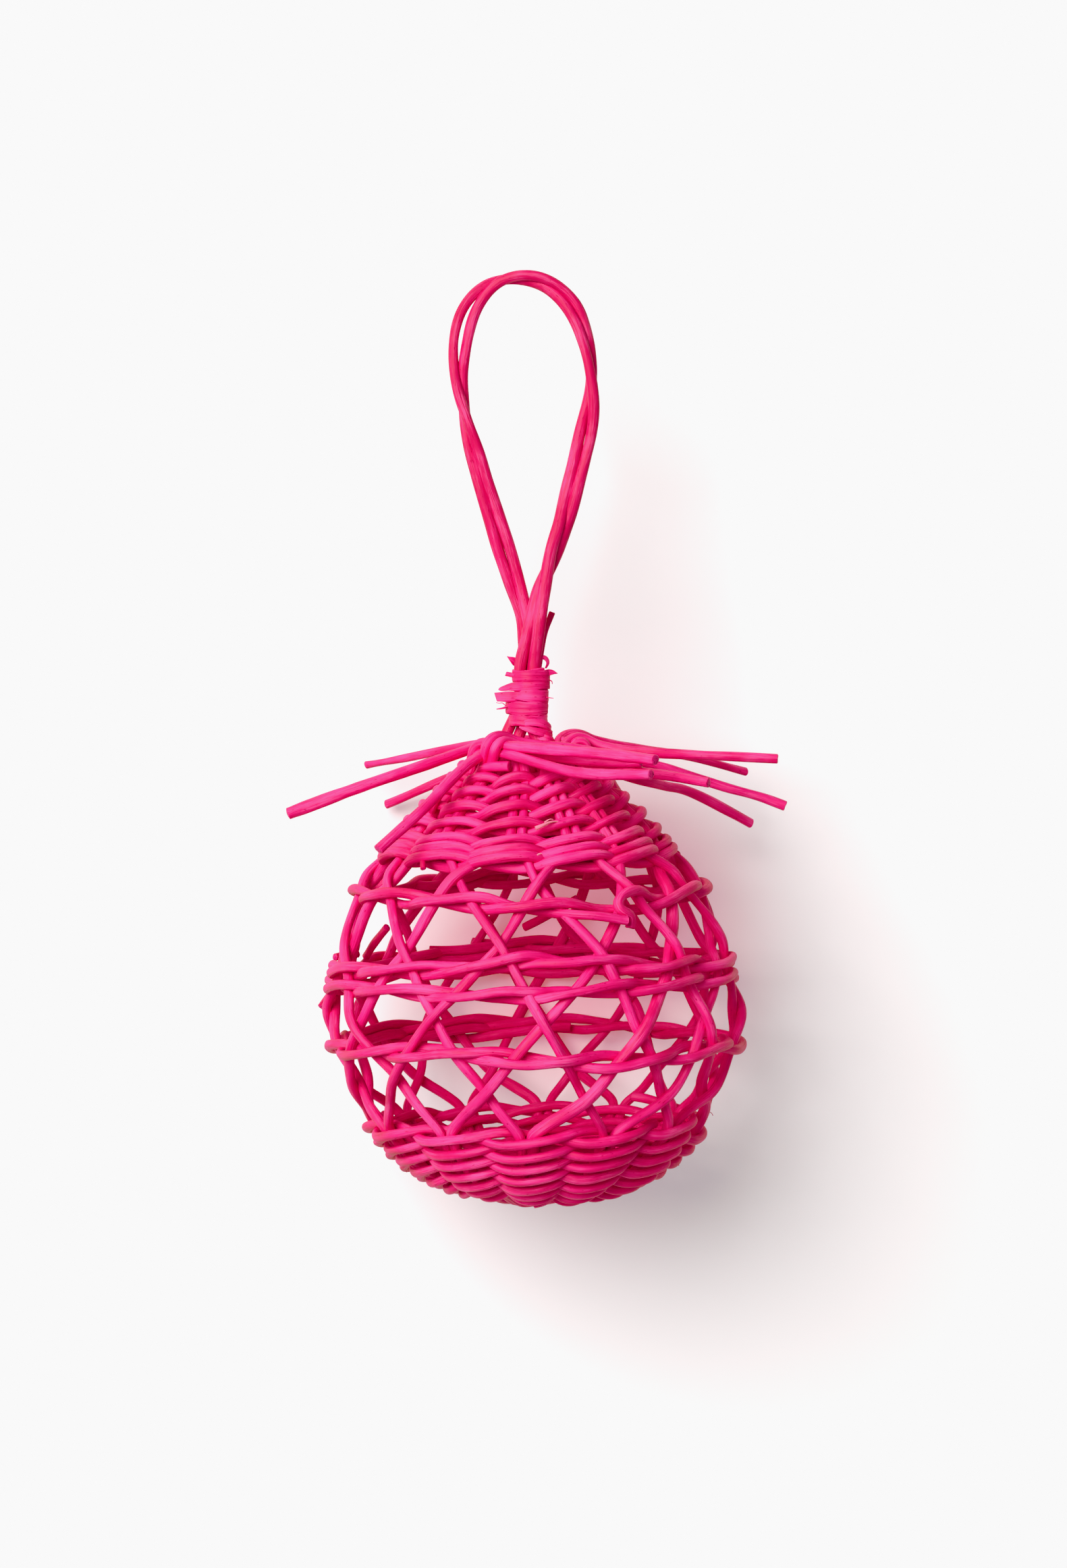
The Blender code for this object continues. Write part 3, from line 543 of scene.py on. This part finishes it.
strips = {
    # rows, slant of the first and the last cut, half thickness
    "filling": (wound(*((degree, 114.2 + degree / 30 * 0.205, -0.62, 1.5) for degree in
        range(0, 1861, 30))), (0, 0), 0.5),
    "top": (wound((-250, 126.2, -0.1, 1.1), (-180, 126.4, 0, 1.2), (-90, 126.5, 0.15, 1.38),
        (-40, 126.45, 0.2, 1.42), (0, 126.45, 0.22, 1.38), (50, 126.4, 0.2, 1.42),
        (90, 126.5, 0.25, 1.35), (135, 126.3, 0.3, 1.1), (175, 125.6, 0.4, 0.8)), (0.3, -0.4),
        0.21),
    "second": ([(-6.5, 123.2, -1.4, 0.1, -95), (-6.1, 123.3, -0.9, 0.48, -80),
        (-5.2, 123.5, 0, 0.72, -65), (-4, 123.8, 1.2, 0.82, -55)] + wound((-48, 123.95, 0, 1.1),
        (-20, 124.1, 0.05, 1.25), (20, 124.3, 0.05, 1.25), (60, 124.4, 0.1, 1.2),
        (95, 124.5, 0.22, 1.1), (150, 124.7, 0.1, 0.9), (210, 124.3, 0.1, 0.9),
        (260, 124.1, -0.1, 0.8)), (0, 0), 0.19),
    "cutUnder": ([(-7.15, 121.4, 1.3, 1.12, -25), (-5.6, 121.45, 1.9, 1.13, -30),
        (-4, 121.5, 2.4, 1.14, -35)] + wound((-45, 121.5, -0.1, 1.15), (-10, 121.5, -0.1, 1.2),
        (40, 121.5, -0.1, 1.2), (100, 121.6, -0.05, 1.2), (160, 121.8, 0, 1.2),
        (230, 122.1, 0, 1.1)), (-0.31, 0), 0.21),
    "cutOver": (wound((-38, 121.9, 0.36, 1.4), (-20, 121.85, 0.34, 1.45), (10, 121.75, 0.3, 1.45),
        (50, 121.6, 0.28, 1.5), (90, 121.6, 0.2, 1.45), (140, 121.6, 0.25, 1.3),
        (200, 121.2, 0.2, 1.2), (250, 121, 0, 1.1)), (0.66, 0), 0.22),
    "wide": (wound((-255, 118.9, 0, 1.2), (-190, 118.9, 0.3, 1.3), (-130, 118.8, 0.8, 1.45),
        (-90, 118.85, 1.25, 1.5), (-55, 118.75, 0.7, 1.55), (-15, 118.65, 0.4, 1.6),
        (30, 118.75, 0.3, 1.55), (70, 118.8, 0.25, 1.5), (95, 118.7, 0.2, 1.45),
        (140, 118.4, 0.2, 1.2), (200, 118, 0.2, 1.1)), (0, 0), 0.24),
    "bright": (wound((-260, 116.6, 0, 1.1), (-190, 116.4, 0.2, 1.2), (-130, 116, 0.3, 1.25),
        (-90, 115.95, 0.35, 1.28), (-50, 115.9, 0.4, 1.3), (-20, 115.8, 0.35, 1.25),
        (5, 115.4, 0.2, 1.1), (30, 114.9, 0, 1)), (0.3, 0.9), 0.24),
    "under": (wound((-15, 115.9, 0, 1.2), (20, 116, 0.05, 1.2), (60, 116.2, 0.1, 1.2),
        (100, 116.4, 0.2, 1.2), (160, 116.5, 0.2, 1.1)), (0, 0), 0.22),
    "foldUpper": (wound((-28, 114.9, 0.1, 0.35), (-8, 115.35, 0.35, 0.8), (15, 115.45, 0.6, 1),
        (40, 115.2, 0.75, 1.05), (62, 114.6, 0.85, 1), (84, 113.9, 0.9, 0.95),
        (110, 113.4, 0.6, 0.9), (150, 113.4, 0.4, 0.9)), (0, 0), 0.26),
    "foldLower": (wound((-32, 114.6, 0, 0.5), (-8, 113.95, 0.2, 0.8), (15, 113.4, 0.4, 0.95),
        (40, 112.95, 0.6, 0.9), (65, 112.7, 0.9, 0.8), (90, 112.75, 1.1, 0.6),
        (115, 113, 0.7, 0.6), (150, 113.2, 0.3, 0.6)), (0, 0), 0.24),
    "lump": ([(2.4, 112.6, 1.2, 0.7, 0), (3.6, 111.9, 2.6, 0.95, 5), (4.9, 111.3, 3.1, 1, 20),
        (6, 110.8, 2.3, 0.8, 60), (6.4, 110.3, 0.8, 0.6, 90)], (0, 0), 0.4),
    "leafLeft": ([(-1.6, 128.6, -1.6, 0.5, -10), (-2.3, 129.6, -1.2, 0.9, -10),
        (-3.2, 130.3, -0.7, 0.72, -15), (-4.5, 131.1, -0.3, 0.05, -20)], (0, 0), 0.14),
    "leafRight": ([(3.6, 126.6, 1.6, 0.6, 35), (4.9, 127.2, 1.6, 0.85, 30),
        (6.1, 127.35, 1.2, 0.62, 20), (7.55, 127.05, 0.7, 0.05, 10)], (0, 0), 0.14),
    "stubEnd": ([(-2.2, 126.4, 1.4, 0.5, -40), (-3.4, 126.7, 1.2, 0.62, -40),
        (-4.7, 126.95, 0.8, 0.6, -30)], (0, 0.2), 0.4),
    "curl": ([(3.3, 127.4, 0.8, 0.4, -60), (3.4, 128.7, 1.1, 0.45, -60),
        (3.3, 129.9, 1.1, 0.45, -55), (3.75, 130.7, 1, 0.45, -35), (4.45, 130.85, 0.8, 0.5, 0),
        (5.1, 130.2, 0.5, 0.5, 25), (5.2, 129.3, 0.2, 0.45, 30), (4.7, 128.3, -0.1, 0.25, 30)],
        (0, 0), 0.12),
}
shortStep = 0.3
# Loose fibres and splinters: route, radius at its start and end
fibres = [
    ([(4.6, 121.5, 2), (5.4, 121.35, 2.2), (6.3, 121.2, 2)], 0.14, 0.07),
    ([(-4.6, 119.3, 2), (-5.6, 119, 2.2), (-6.9, 118.8, 1.8)], 0.3, 0.12),
    ([(-4.9, 119.6, 1.8), (-5.6, 120.2, 1.7), (-6.4, 120.15, 1.6), (-7.1, 120.25, 1.4)],
     0.12, 0.06),
    ([(5.4, 125.6, 1), (6, 125.3, 1), (6.1, 124.7, 0.8)], 0.16, 0.08),
    ([(1.2, 117.3, 4.2), (2.2, 117.1, 4.5), (3.2, 117.5, 4.3)], 0.13, 0.07),
]


def stripLine(name):
    # A strip's middle line, its width and thickness, and the ways that these point
    rows, slants, thick = strips[name]
    rows = smoothRoute(rows, 12)
    line, wide, facing = spread(rows[:, :3], binding["step"], rows[:, 3], np.radians(rows[:, 4]))
    forward = np.gradient(line, axis=0)
    forward /= np.linalg.norm(forward, axis=1)[:, None]
    outward = np.stack([np.sin(facing), np.zeros(len(line)), np.cos(facing)], axis=1)
    outward -= (outward * forward).sum(axis=1)[:, None] * forward
    outward /= np.linalg.norm(outward, axis=1)[:, None]
    sideways = np.cross(outward, forward)
    along = np.arange(len(line)) * binding["step"]
    for slant, place in zip(slants, (along, along[-1] - along)):
        fade = np.clip(1.0 - place / binding["slantReach"], 0.0, 1.0)
        sideways = sideways + (slant * fade)[:, None] * forward
    waver = sum(np.sin(along / reach + dice.uniform(0.0, math.tau))
                for reach in binding["waverReaches"])
    wide = np.maximum(wide, binding["leastWide"]) * (1.0 + binding["waver"] * waver)
    laid = layDown(line)
    return laid, {"wide": wide * mm,
                  "thick": np.full(len(line), thick * mm),
                  "sideways": (layDown(line + sideways) - laid) / mm,
                  "outward": (layDown(line + outward) - laid) / mm,
                  "tone": np.full(len(line), dice.uniform())}


def shortPath(route, first, last):
    # A short end or a fibre, with its radius at the start and at the end
    line, = spread(smoothRoute(route), shortStep)
    return line, np.linspace(first, last, len(line))


class Socket:
    # An output of a node; arithmetic on it adds Math nodes
    def __init__(self, graph, out):
        self.graph = graph
        self.out = out

    def math(self, operation, *others):
        return self.graph.add("ShaderNodeMath", {"operation": operation}, (self, *others))

    def __add__(self, other):
        return self.math("ADD", other)

    def __mul__(self, other):
        return self.math("MULTIPLY", other)

    def __sub__(self, other):
        return self.math("SUBTRACT", other)

    def __gt__(self, other):
        return self.math("GREATER_THAN", other)


class Graph:
    # Any node of a shader or geometry tree
    def __init__(self, tree):
        self.tree = tree

    def add(self, kind, settings=None, inputs=(), pick=0):
        node = self.tree.nodes.new(kind)
        for name, value in (settings or {}).items():
            setattr(node, name, value)
        named = inputs.items() if isinstance(inputs, dict) else enumerate(inputs)
        for name, value in named:
            if isinstance(value, Socket):
                self.tree.links.new(value.out, node.inputs[name])
            else:
                node.inputs[name].default_value = value
        return Socket(self, node.outputs[pick]) if node.outputs else None

    def vector(self, operation, first, second, pick=0):
        return self.add("ShaderNodeVectorMath", {"operation": operation},
                        {0: first, "Scale" if operation == "SCALE" else 1: second}, pick)

    def noise(self, place, scales, detail):
        return self.add("ShaderNodeTexNoise", None, {
            "Vector": self.vector("MULTIPLY", place, scales), "Scale": 1.0, "Detail": detail})

    def ramp(self, value, low, high):
        # From 0 at low to 1 at high
        return self.add("ShaderNodeMapRange", {"interpolation_type": "SMOOTHSTEP"},
                        {"Value": value, "From Min": low, "From Max": high})

    def mix(self, factor, first, second):
        first, second = (colour if isinstance(colour, Socket) else (*colour, 1.0)
                         for colour in (first, second))
        return self.add("ShaderNodeMix", {"data_type": "RGBA"},
                        {0: factor, 6: first, 7: second}, 2)

    def surface(self, values):
        shader = self.add("ShaderNodeBsdfPrincipled", None, values)
        self.add("ShaderNodeOutputMaterial", None, {"Surface": shader})


def newMaterial(name):
    material = bpy.data.materials.new(name)
    material.use_nodes = True
    material.node_tree.nodes.clear()
    return material, Graph(material.node_tree)


sweep = {
    "Sides": 28,
    "Ring Spacing": 0.82 * mm,
    "Lumps": 0.07 * mm,
    "Ridges": 0.030 * mm,           # grain of a drawn reed
    "Oval": 0.075,
    "Cut Depth": 0.13 * mm,
    "Cut Share": 0.80,              # of a cut end that stays flat
}
kinds = {"Sides": "NodeSocketInt", "Material": "NodeSocketMaterial"}
# Noise along the reed: scales across, out and along, detail
reedNoise = {
    "sway": ((0.0, 0.0, 45.0), 1.0),
    "lumps": ((420.0, 420.0, 90.0), 2.0),
    "ridges": ((2100.0, 2100.0, 34.0), 1.0),
}
ovalTurn = 9.0
stripSquare = 0.55                  # lower is squarer
endFaceSides = 4.5                  # faces with more neighbours than this are cut ends
sharpAngle = 42.0
floorSoft = 0.25 * mm
thinSweep = {"Sides": 8, "Ring Spacing": 0.3 * mm, "Lumps": 0.02 * mm, "Ridges": 0.01 * mm,
             "Cut Depth": 0.02 * mm}
tornSweep = {**thinSweep, "Sides": 10, "Lumps": 0.06 * mm, "Ridges": 0.04 * mm}
stripSweep = {"Sides": 40, "Ring Spacing": 0.4 * mm, "Oval": 0.0, "Lumps": 0.09 * mm,
              "Ridges": 0.10 * mm, "Cut Depth": 0.03 * mm}


def sweepTree(name, flat):
    tree = bpy.data.node_groups.new(name, "GeometryNodeTree")
    face = tree.interface
    face.new_socket("Geometry", in_out="INPUT", socket_type="NodeSocketGeometry")
    for label in (*sweep, "Seed", "Material"):
        face.new_socket(label, in_out="INPUT", socket_type=kinds.get(label, "NodeSocketFloat"))
    face.new_socket("Geometry", in_out="OUTPUT", socket_type="NodeSocketGeometry")
    graph = Graph(tree)
    entry = tree.nodes.new("NodeGroupInput")
    given = {socket.name: Socket(graph, socket) for socket in entry.outputs if socket.name}

    def step(kind, inputs=(), settings=None, pick=0):
        return graph.add("GeometryNode" + kind, settings, inputs, pick)

    def attribute(label, kind="FLOAT"):
        return step("InputNamedAttribute", {"Name": label}, {"data_type": kind})

    def store(geometry, label, value, kind="FLOAT", domain="POINT"):
        return step("StoreNamedAttribute", {"Geometry": geometry, "Name": label, "Value": value},
                    {"data_type": kind, "domain": domain})

    def noise(label):
        return graph.noise(attribute("grain", "FLOAT_VECTOR"), *reedNoise[label]) * 2.0 - 1.0

    line = step("MeshToCurve", {"Mesh": given["Geometry"]})
    line = step("ResampleCurve", {"Curve": line, "Length": given["Ring Spacing"]},
                {"mode": "LENGTH"})
    line = store(line, "along", step("SplineParameter", pick=1))
    line = store(line, "centre", step("InputPosition"), "FLOAT_VECTOR")
    circle = step("CurvePrimitiveCircle", {"Resolution": given["Sides"], "Radius": 1.0},
                  {"mode": "RADIUS"})
    circle = store(circle, "turn", step("SplineParameter") * math.tau)
    body = step("CurveToMesh", {"Curve": line, "Profile Curve": circle,
                                "Scale": attribute("thick"), "Fill Caps": True})
    across, outward = (attribute("turn").math(wave) for wave in ("COSINE", "SINE"))
    if flat:
        across, outward = (part.math("SIGN") * part.math("ABSOLUTE").math("POWER", stripSquare)
                           for part in (across, outward))
    across, outward = across * attribute("wide"), outward * attribute("thick")
    grain = graph.add("ShaderNodeCombineXYZ", None,
                      (across, outward, attribute("along") + given["Seed"]))
    body = store(body, "grain", grain, "FLOAT_VECTOR")
    if flat:
        place = attribute("centre", "FLOAT_VECTOR")
        for label, amount in (("sideways", across), ("outward", outward)):
            shift = graph.vector("SCALE", attribute(label, "FLOAT_VECTOR"), amount)
            place = graph.vector("ADD", place, shift)
        body = step("SetPosition", {"Geometry": body, "Position": place})

    # a cut end is flat with a soft edge
    ends = step("InputMeshFaceNeighbors") > endFaceSides
    body = step("ExtrudeMesh", {"Mesh": body, "Selection": ends,
                                "Offset Scale": given["Cut Depth"]}, {"mode": "FACES"})
    top = Socket(graph, body.out.node.outputs["Top"])
    body = step("ScaleElements", {"Geometry": body, "Selection": top,
                                  "Scale": given["Cut Share"]}, {"domain": "FACE"})
    body = store(body, "cutEnd", top, "FLOAT", "FACE")

    # grain, and an oval that turns slowly along the reed
    sway = noise("sway") * ovalTurn + attribute("turn") * 2.0
    push = (noise("lumps") * given["Lumps"] + noise("ridges") * given["Ridges"]
            + sway.math("COSINE") * attribute("thick") * given["Oval"])
    offset = graph.vector("SCALE", step("InputNormal"), push)
    body = step("SetPosition", {"Geometry": body, "Offset": offset})
    body = step("SetShadeSmooth", {"Geometry": body})
    body = step("RealizeInstances", {"Geometry": body})
    body = step("SetMaterial", {"Geometry": body, "Material": given["Material"]})
    graph.add("NodeGroupOutput", None, (body,))
    return tree


def lineMesh(name, lines):
    # Lines as one mesh of edges, with what the sweep needs at each point
    points = np.vstack([laid for laid, values in lines])
    firsts = np.cumsum([0] + [len(laid) for laid, values in lines])
    edges = [(index, index + 1) for first, last in zip(firsts, firsts[1:])
             for index in range(first, last - 1)]
    mesh = bpy.data.meshes.new(name)
    mesh.from_pydata(points.tolist(), edges, [])
    for label in lines[0][1]:
        column = np.concatenate([np.asarray(values[label], float) for laid, values in lines])
        kind, key = ("FLOAT", "value") if column.ndim == 1 else ("FLOAT_VECTOR", "vector")
        mesh.attributes.new(label, kind, "POINT").data.foreach_set(key, column.ravel())
    return mesh


def intoScene(name, data):
    made = bpy.data.objects.new(name, data)
    bpy.context.scene.collection.objects.link(made)
    return made


def evaluateTree(name, mesh, tree, values):
    # Runs the tree on the mesh and keeps the result as a plain object
    holder = intoScene(name + "_path", mesh)
    modifier = holder.modifiers.new("nodes", "NODES")
    modifier.node_group = tree
    for item in tree.interface.items_tree:
        if item.name in values:
            modifier[item.identifier] = values[item.name]
    graph = bpy.context.evaluated_depsgraph_get()
    made = bpy.data.meshes.new_from_object(holder.evaluated_get(graph), depsgraph=graph)
    bpy.data.objects.remove(holder)
    made.name = name
    made.set_sharp_from_angle(angle=math.radians(sharpAngle))
    return intoScene(name, made)


roundReed = sweepTree("roundReed", False)
flatStrip = sweepTree("flatStrip", True)


def makePiece(name, lines, tree, settings, finish, nodes=()):
    material, slotName = finish
    values = {**sweep, **settings, "Seed": float(dice.uniform(0.0, 5.0)), "Material": material}
    piece = evaluateTree(name, lineMesh(name, lines), tree, values)
    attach(piece, "root")
    if nodes:
        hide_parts(*nodes)


def reedLine(path, tone):
    line, radius = path
    line = drifted(line, *drift["shared"])
    line = drifted(line, int(dice.integers(1000)), *drift["own"])
    along = np.arange(len(line)) * drift["girthStep"]
    swell = sum(np.sin(along / reach + dice.uniform(0.0, math.tau))
                for reach in drift["girthReaches"])
    radius = radius * mm * (1.0 + drift["girth"] * swell / drift["girthPeak"])
    laid = layDown(line)
    # what would go below the floor lies on it
    laid[:, 2] = radius + floorSoft * np.logaddexp(0.0, (laid[:, 2] - radius) / floorSoft)
    return laid, {"thick": radius, "wide": radius,
                  "tone": np.full(len(line), dice.uniform() if tone is None else tone)}


def makeReed(name, paths, finish, nodes=(), settings=None, tone=None):
    lines = [reedLine(path, tone) for path in paths]
    makePiece(name, lines, roundReed, settings or {}, finish, nodes)


dye = {
    "deep": (0.61, 0.015, 0.105),
    "full": (0.88, 0.037, 0.232),
    "wornAndSheen": (0.97, 0.16, 0.44),     # where the dye has rubbed thin, and painted pale sheen
    "bare": (0.92, 0.36, 0.42),     # where the skin is torn off
    # painted shade for the furrows of the grain, also the colour of the dark specks in pits
    "grooveShadeAndSpeck": (0.40, 0.0004, 0.045),
    "endDark": (0.20, 0.002, 0.04),
    "endLight": (0.72, 0.03, 0.20),
    "wornAndSheenShare": 0.24,
    "bareShare": 0.6,
    "grooveShadeShare": 0.20,
    "pitShare": 0.6,
    # from and up to which value of their noise they show
    "depth": (0.38, 0.94),
    "wearAndSheen": (0.60, 0.78),
    "grooves": (0.58, 0.74),
    "pits": (0.70, 0.76),
    "pores": (0.16, 0.42),
    "patchScale": 110.0,
    "poreScale": 3200.0,
    "shine": 0.22,
    "bump": 0.10 * mm,
    "noise": {                      # scales across, out and along, detail
        "broad": ((420.0, 420.0, 50.0), 2.0),
        "streak": ((1700.0, 1700.0, 85.0), 3.0),
        "fibre": ((5200.0, 5200.0, 260.0), 2.0),
        "furrow": ((3100.0, 3100.0, 70.0), 1.0),
        "speck": ((3600.0, 3600.0, 900.0), 1.0),
    },
}


def dyedReed(name, bare=False):
    # Dye that has sunk in unevenly, along the grain, with painted shade in the furrows and pale
    # streaks that are partly rubbed dye and partly painted sheen; open pores at the cut ends
    material, graph = newMaterial(name)
    grain, tone, cutEnd = (graph.add("ShaderNodeAttribute", {"attribute_name": label}, (), pick)
                           for label, pick in (("grain", 1), ("tone", 2), ("cutEnd", 2)))
    place = graph.add("ShaderNodeTexCoord", pick=3)

    broad, streak, fibre, furrow, speck = (graph.noise(grain, *row)
                                           for row in dye["noise"].values())
    patch = graph.add("ShaderNodeTexNoise", None,
                      {"Vector": place, "Scale": dye["patchScale"], "Detail": 4.0})
    pores = graph.add("ShaderNodeTexVoronoi", {"feature": "F1"},
                      {"Vector": place, "Scale": dye["poreScale"]})
    depth = graph.ramp(streak * 0.24 + fibre * 0.16 + broad * 0.45 + patch * 0.45 + tone * 0.12,
                       *dye["depth"])
    wearAndSheen = graph.ramp(streak * 0.35 + fibre * 0.45 + patch * 0.45, *dye["wearAndSheen"])
    grooves = graph.ramp(furrow, *dye["grooves"])
    pits = graph.ramp(speck, *dye["pits"])
    colour = graph.mix(depth, dye["deep"], dye["full"])
    # pale streaks: partly rubbed dye, partly painted sheen
    colour = graph.mix(wearAndSheen * dye["wornAndSheenShare"], colour, dye["wornAndSheen"])
    # painted shade in the furrows of the grain
    colour = graph.mix(grooves * dye["grooveShadeShare"], colour, dye["grooveShadeAndSpeck"])
    colour = graph.mix(pits * dye["pitShare"], colour, dye["grooveShadeAndSpeck"])
    endColour = graph.mix(graph.ramp(pores, *dye["pores"]), dye["endDark"], dye["endLight"])
    colour = graph.mix(cutEnd, colour, endColour)
    if bare:
        colour = graph.mix(dye["bareShare"], colour, dye["bare"])

    height = streak * 0.6 + fibre * 0.6 - grooves * 0.5 - pits * 0.4
    bump = graph.add("ShaderNodeBump", None,
                     {"Strength": 1.0, "Distance": dye["bump"], "Height": height})
    graph.surface({"Base Color": colour, "Roughness": fibre * 0.20 + 0.48,
                   "Specular IOR Level": dye["shine"], "Normal": bump})
    return material


# material and slot
stakeReed = (dyedReed("stakeDye"), "stake_reed")
weaverReed = (dyedReed("weaverDye"), "weaver_reed")
loopReed = (dyedReed("loopDye"), "loop_reed")
bindingReed = (dyedReed("bindingDye"), "binding_strip")
tornReed = (dyedReed("bareReed", bare=True), None)


def makeStakes():
    for number, path in enumerate(stakePaths(), 1):
        node = f"stake_{number:02d}"
        makeReed("reed_" + node, [path], stakeReed, [node])


def makeWeavers():
    weaves = {
        "base_weaver": weavePaths(ball["basePhase"], *weavers["base"]),
        "shoulder_weaver": weavePaths(ball["neckPhase"], *weavers["shoulder"], cutEndShoulder),
        **{name: bandPaths(name) for name in bands}}
    for name, paths in weaves.items():
        for letter, path in zip("ab", paths):
            node = f"{name}_{letter}"
            makeReed("reed_" + node, [path], weaverReed, [node])


def makeLoop():
    for letter, path in zip("ab", loopPaths()):
        makeReed("reed_loop_" + letter, [path], loopReed, ["loop_reed_" + letter],
                 tone=loop["tone"])


def makeLooseEnds():
    # each end takes its listed tone, which paints shade on it
    for number, (route, radius, tone) in enumerate(pokingEnds, 1):
        makeReed(f"reed_end_{number}", [shortPath(route, radius, radius)], weaverReed, tone=tone)
    makeReed("fibres_base", [shortPath(*hair) for hair in hairs], weaverReed,
             settings=thinSweep, tone=-4.0)
    torn = [shortPath(onBall(*np.array(rows).T), first, last) for rows, first, last in splinters]
    makeReed("splinters_shoulder", torn, tornReed, settings=tornSweep)


def makeBinding():
    makePiece("binding_strips", [stripLine(name) for name in strips], flatStrip, stripSweep,
              bindingReed, ["binding"])
    # the stub's low tone paints shade on it
    makeReed("reed_stub", [shortPath(loop["stub"], loop["stubThick"], loop["stubThick"])],
             stakeReed, tone=loop["stubShadeTone"])
    makeReed("fibres_binding", [shortPath(*fibre) for fibre in fibres], bindingReed,
             settings=thinSweep)


studio = {
    "floorHalf": 3.0,
    "floorColour": (0.655, 0.628, 0.626),
    "paintedBounce": (0.36, 0.11, 0.145),    # painted pink bounce light on the paper under the ball, as the reeds would throw it
    "glowFar": (0.25, 0.243, 0.242),
    "paintedBounceMiddle": (10.0, -50.0, 12.0, 60.0),    # middle of the painted bounce light: x, y; from and up to which distance
    "worldStrength": 0.05,
    "lights": {                     # place, size, power
        "key": ((-0.85, 0.62, 1.65), 1.5, 54.0),
        "side": ((1.3, 0.1, 1.3), 1.5, 5.0),
        "low": ((-0.2, -1.3, 1.2), 1.5, 5.5),
    },
    # how the darkest green and blue fall away in a deep dye
    "toes": {1: ((0.014, 0.0004), (0.022, 0.0012), (0.029, 0.003), (0.036, 0.009),
                 (0.044, 0.021), (0.054, 0.043), (0.064, 0.066), (0.085, 0.095),
                 (0.12, 0.125), (0.30, 0.30)),
             2: ((0.05, 0.032), (0.10, 0.066), (0.15, 0.116), (0.20, 0.185), (0.28, 0.295),
                 (0.36, 0.385), (0.50, 0.50))},
    "white": 0.947,                 # where the highlights stop
}


def makeFloor():
    half = studio["floorHalf"]
    mesh = bpy.data.meshes.new("floor")
    mesh.from_pydata([(-half, -half, 0), (half, -half, 0), (half, half, 0), (-half, half, 0)],
                     [], [(0, 1, 2, 3)])
    floor = intoScene("floor", mesh)
    material, graph = newMaterial("paper")
    x, y, near, far = (value * mm for value in studio["paintedBounceMiddle"])
    place = graph.add("ShaderNodeTexCoord", pick=3)
    distance = graph.vector("DISTANCE", place, (x, y, 0.0), pick=1)
    # the paper glows evenly far out, with painted pink bounce light near the middle
    glowAndPaintedBounce = graph.mix(graph.ramp(distance, near, far), studio["paintedBounce"], studio["glowFar"])
    graph.surface({"Base Color": (*studio["floorColour"], 1.0), "Roughness": 0.9,
                   "Specular IOR Level": 0.0, "Emission Color": glowAndPaintedBounce, "Emission Strength": 1.0})
    mesh.materials.append(material)


def makeLights():
    world = bpy.data.worlds.new("room")
    world.use_nodes = True
    sky = world.node_tree.nodes["Background"]
    sky.inputs["Color"].default_value = (1.0, 1.0, 1.0, 1.0)
    sky.inputs["Strength"].default_value = studio["worldStrength"]
    bpy.context.scene.world = world
    for name, (place, size, power) in studio["lights"].items():
        data = bpy.data.lights.new(name, "AREA")
        data.shape = "DISK"
        data.size = size
        data.energy = power
        light = intoScene(name, data)
        light.location = place
        light.rotation_euler = (-Vector(place)).to_track_quat("-Z", "Y").to_euler()


camera = {
    "distance": 1.0,                # from the middle of the ball
    "height": 0.3753,               # of what it sees there
    "aim": (-0.679 * mm, -11.15 * mm, 49.5 * mm),
    "sensor": 24.0,
}


def makeCamera():
    data = bpy.data.cameras.new("camera")
    data.sensor_fit = "VERTICAL"
    data.sensor_height = camera["sensor"]
    data.lens = camera["sensor"] * camera["distance"] / camera["height"]
    made = intoScene("camera", data)
    made.location = Vector(camera["aim"]) + Vector((0.0, 0.0, camera["distance"]))
    bpy.context.scene.camera = made


def setTones():
    view = bpy.context.scene.view_settings
    view.view_transform = "Standard"
    view.use_curve_mapping = True
    whole = view.curve_mapping.curves[3]
    whole.points.new(studio["white"], studio["white"])
    whole.points[-1].location = (1.0, studio["white"])
    for point in whole.points:
        point.handle_type = "VECTOR"
    for channel, toe in studio["toes"].items():
        for place, value in toe:
            view.curve_mapping.curves[channel].points.new(place, value).handle_type = "VECTOR"
    view.curve_mapping.extend = "HORIZONTAL"
    view.curve_mapping.update()


for stage in (makeStakes, makeWeavers, makeLoop, makeLooseEnds, makeBinding,
              makeFloor, makeLights, makeCamera, setTones):
    stage()
    print(stage.__name__, "done")
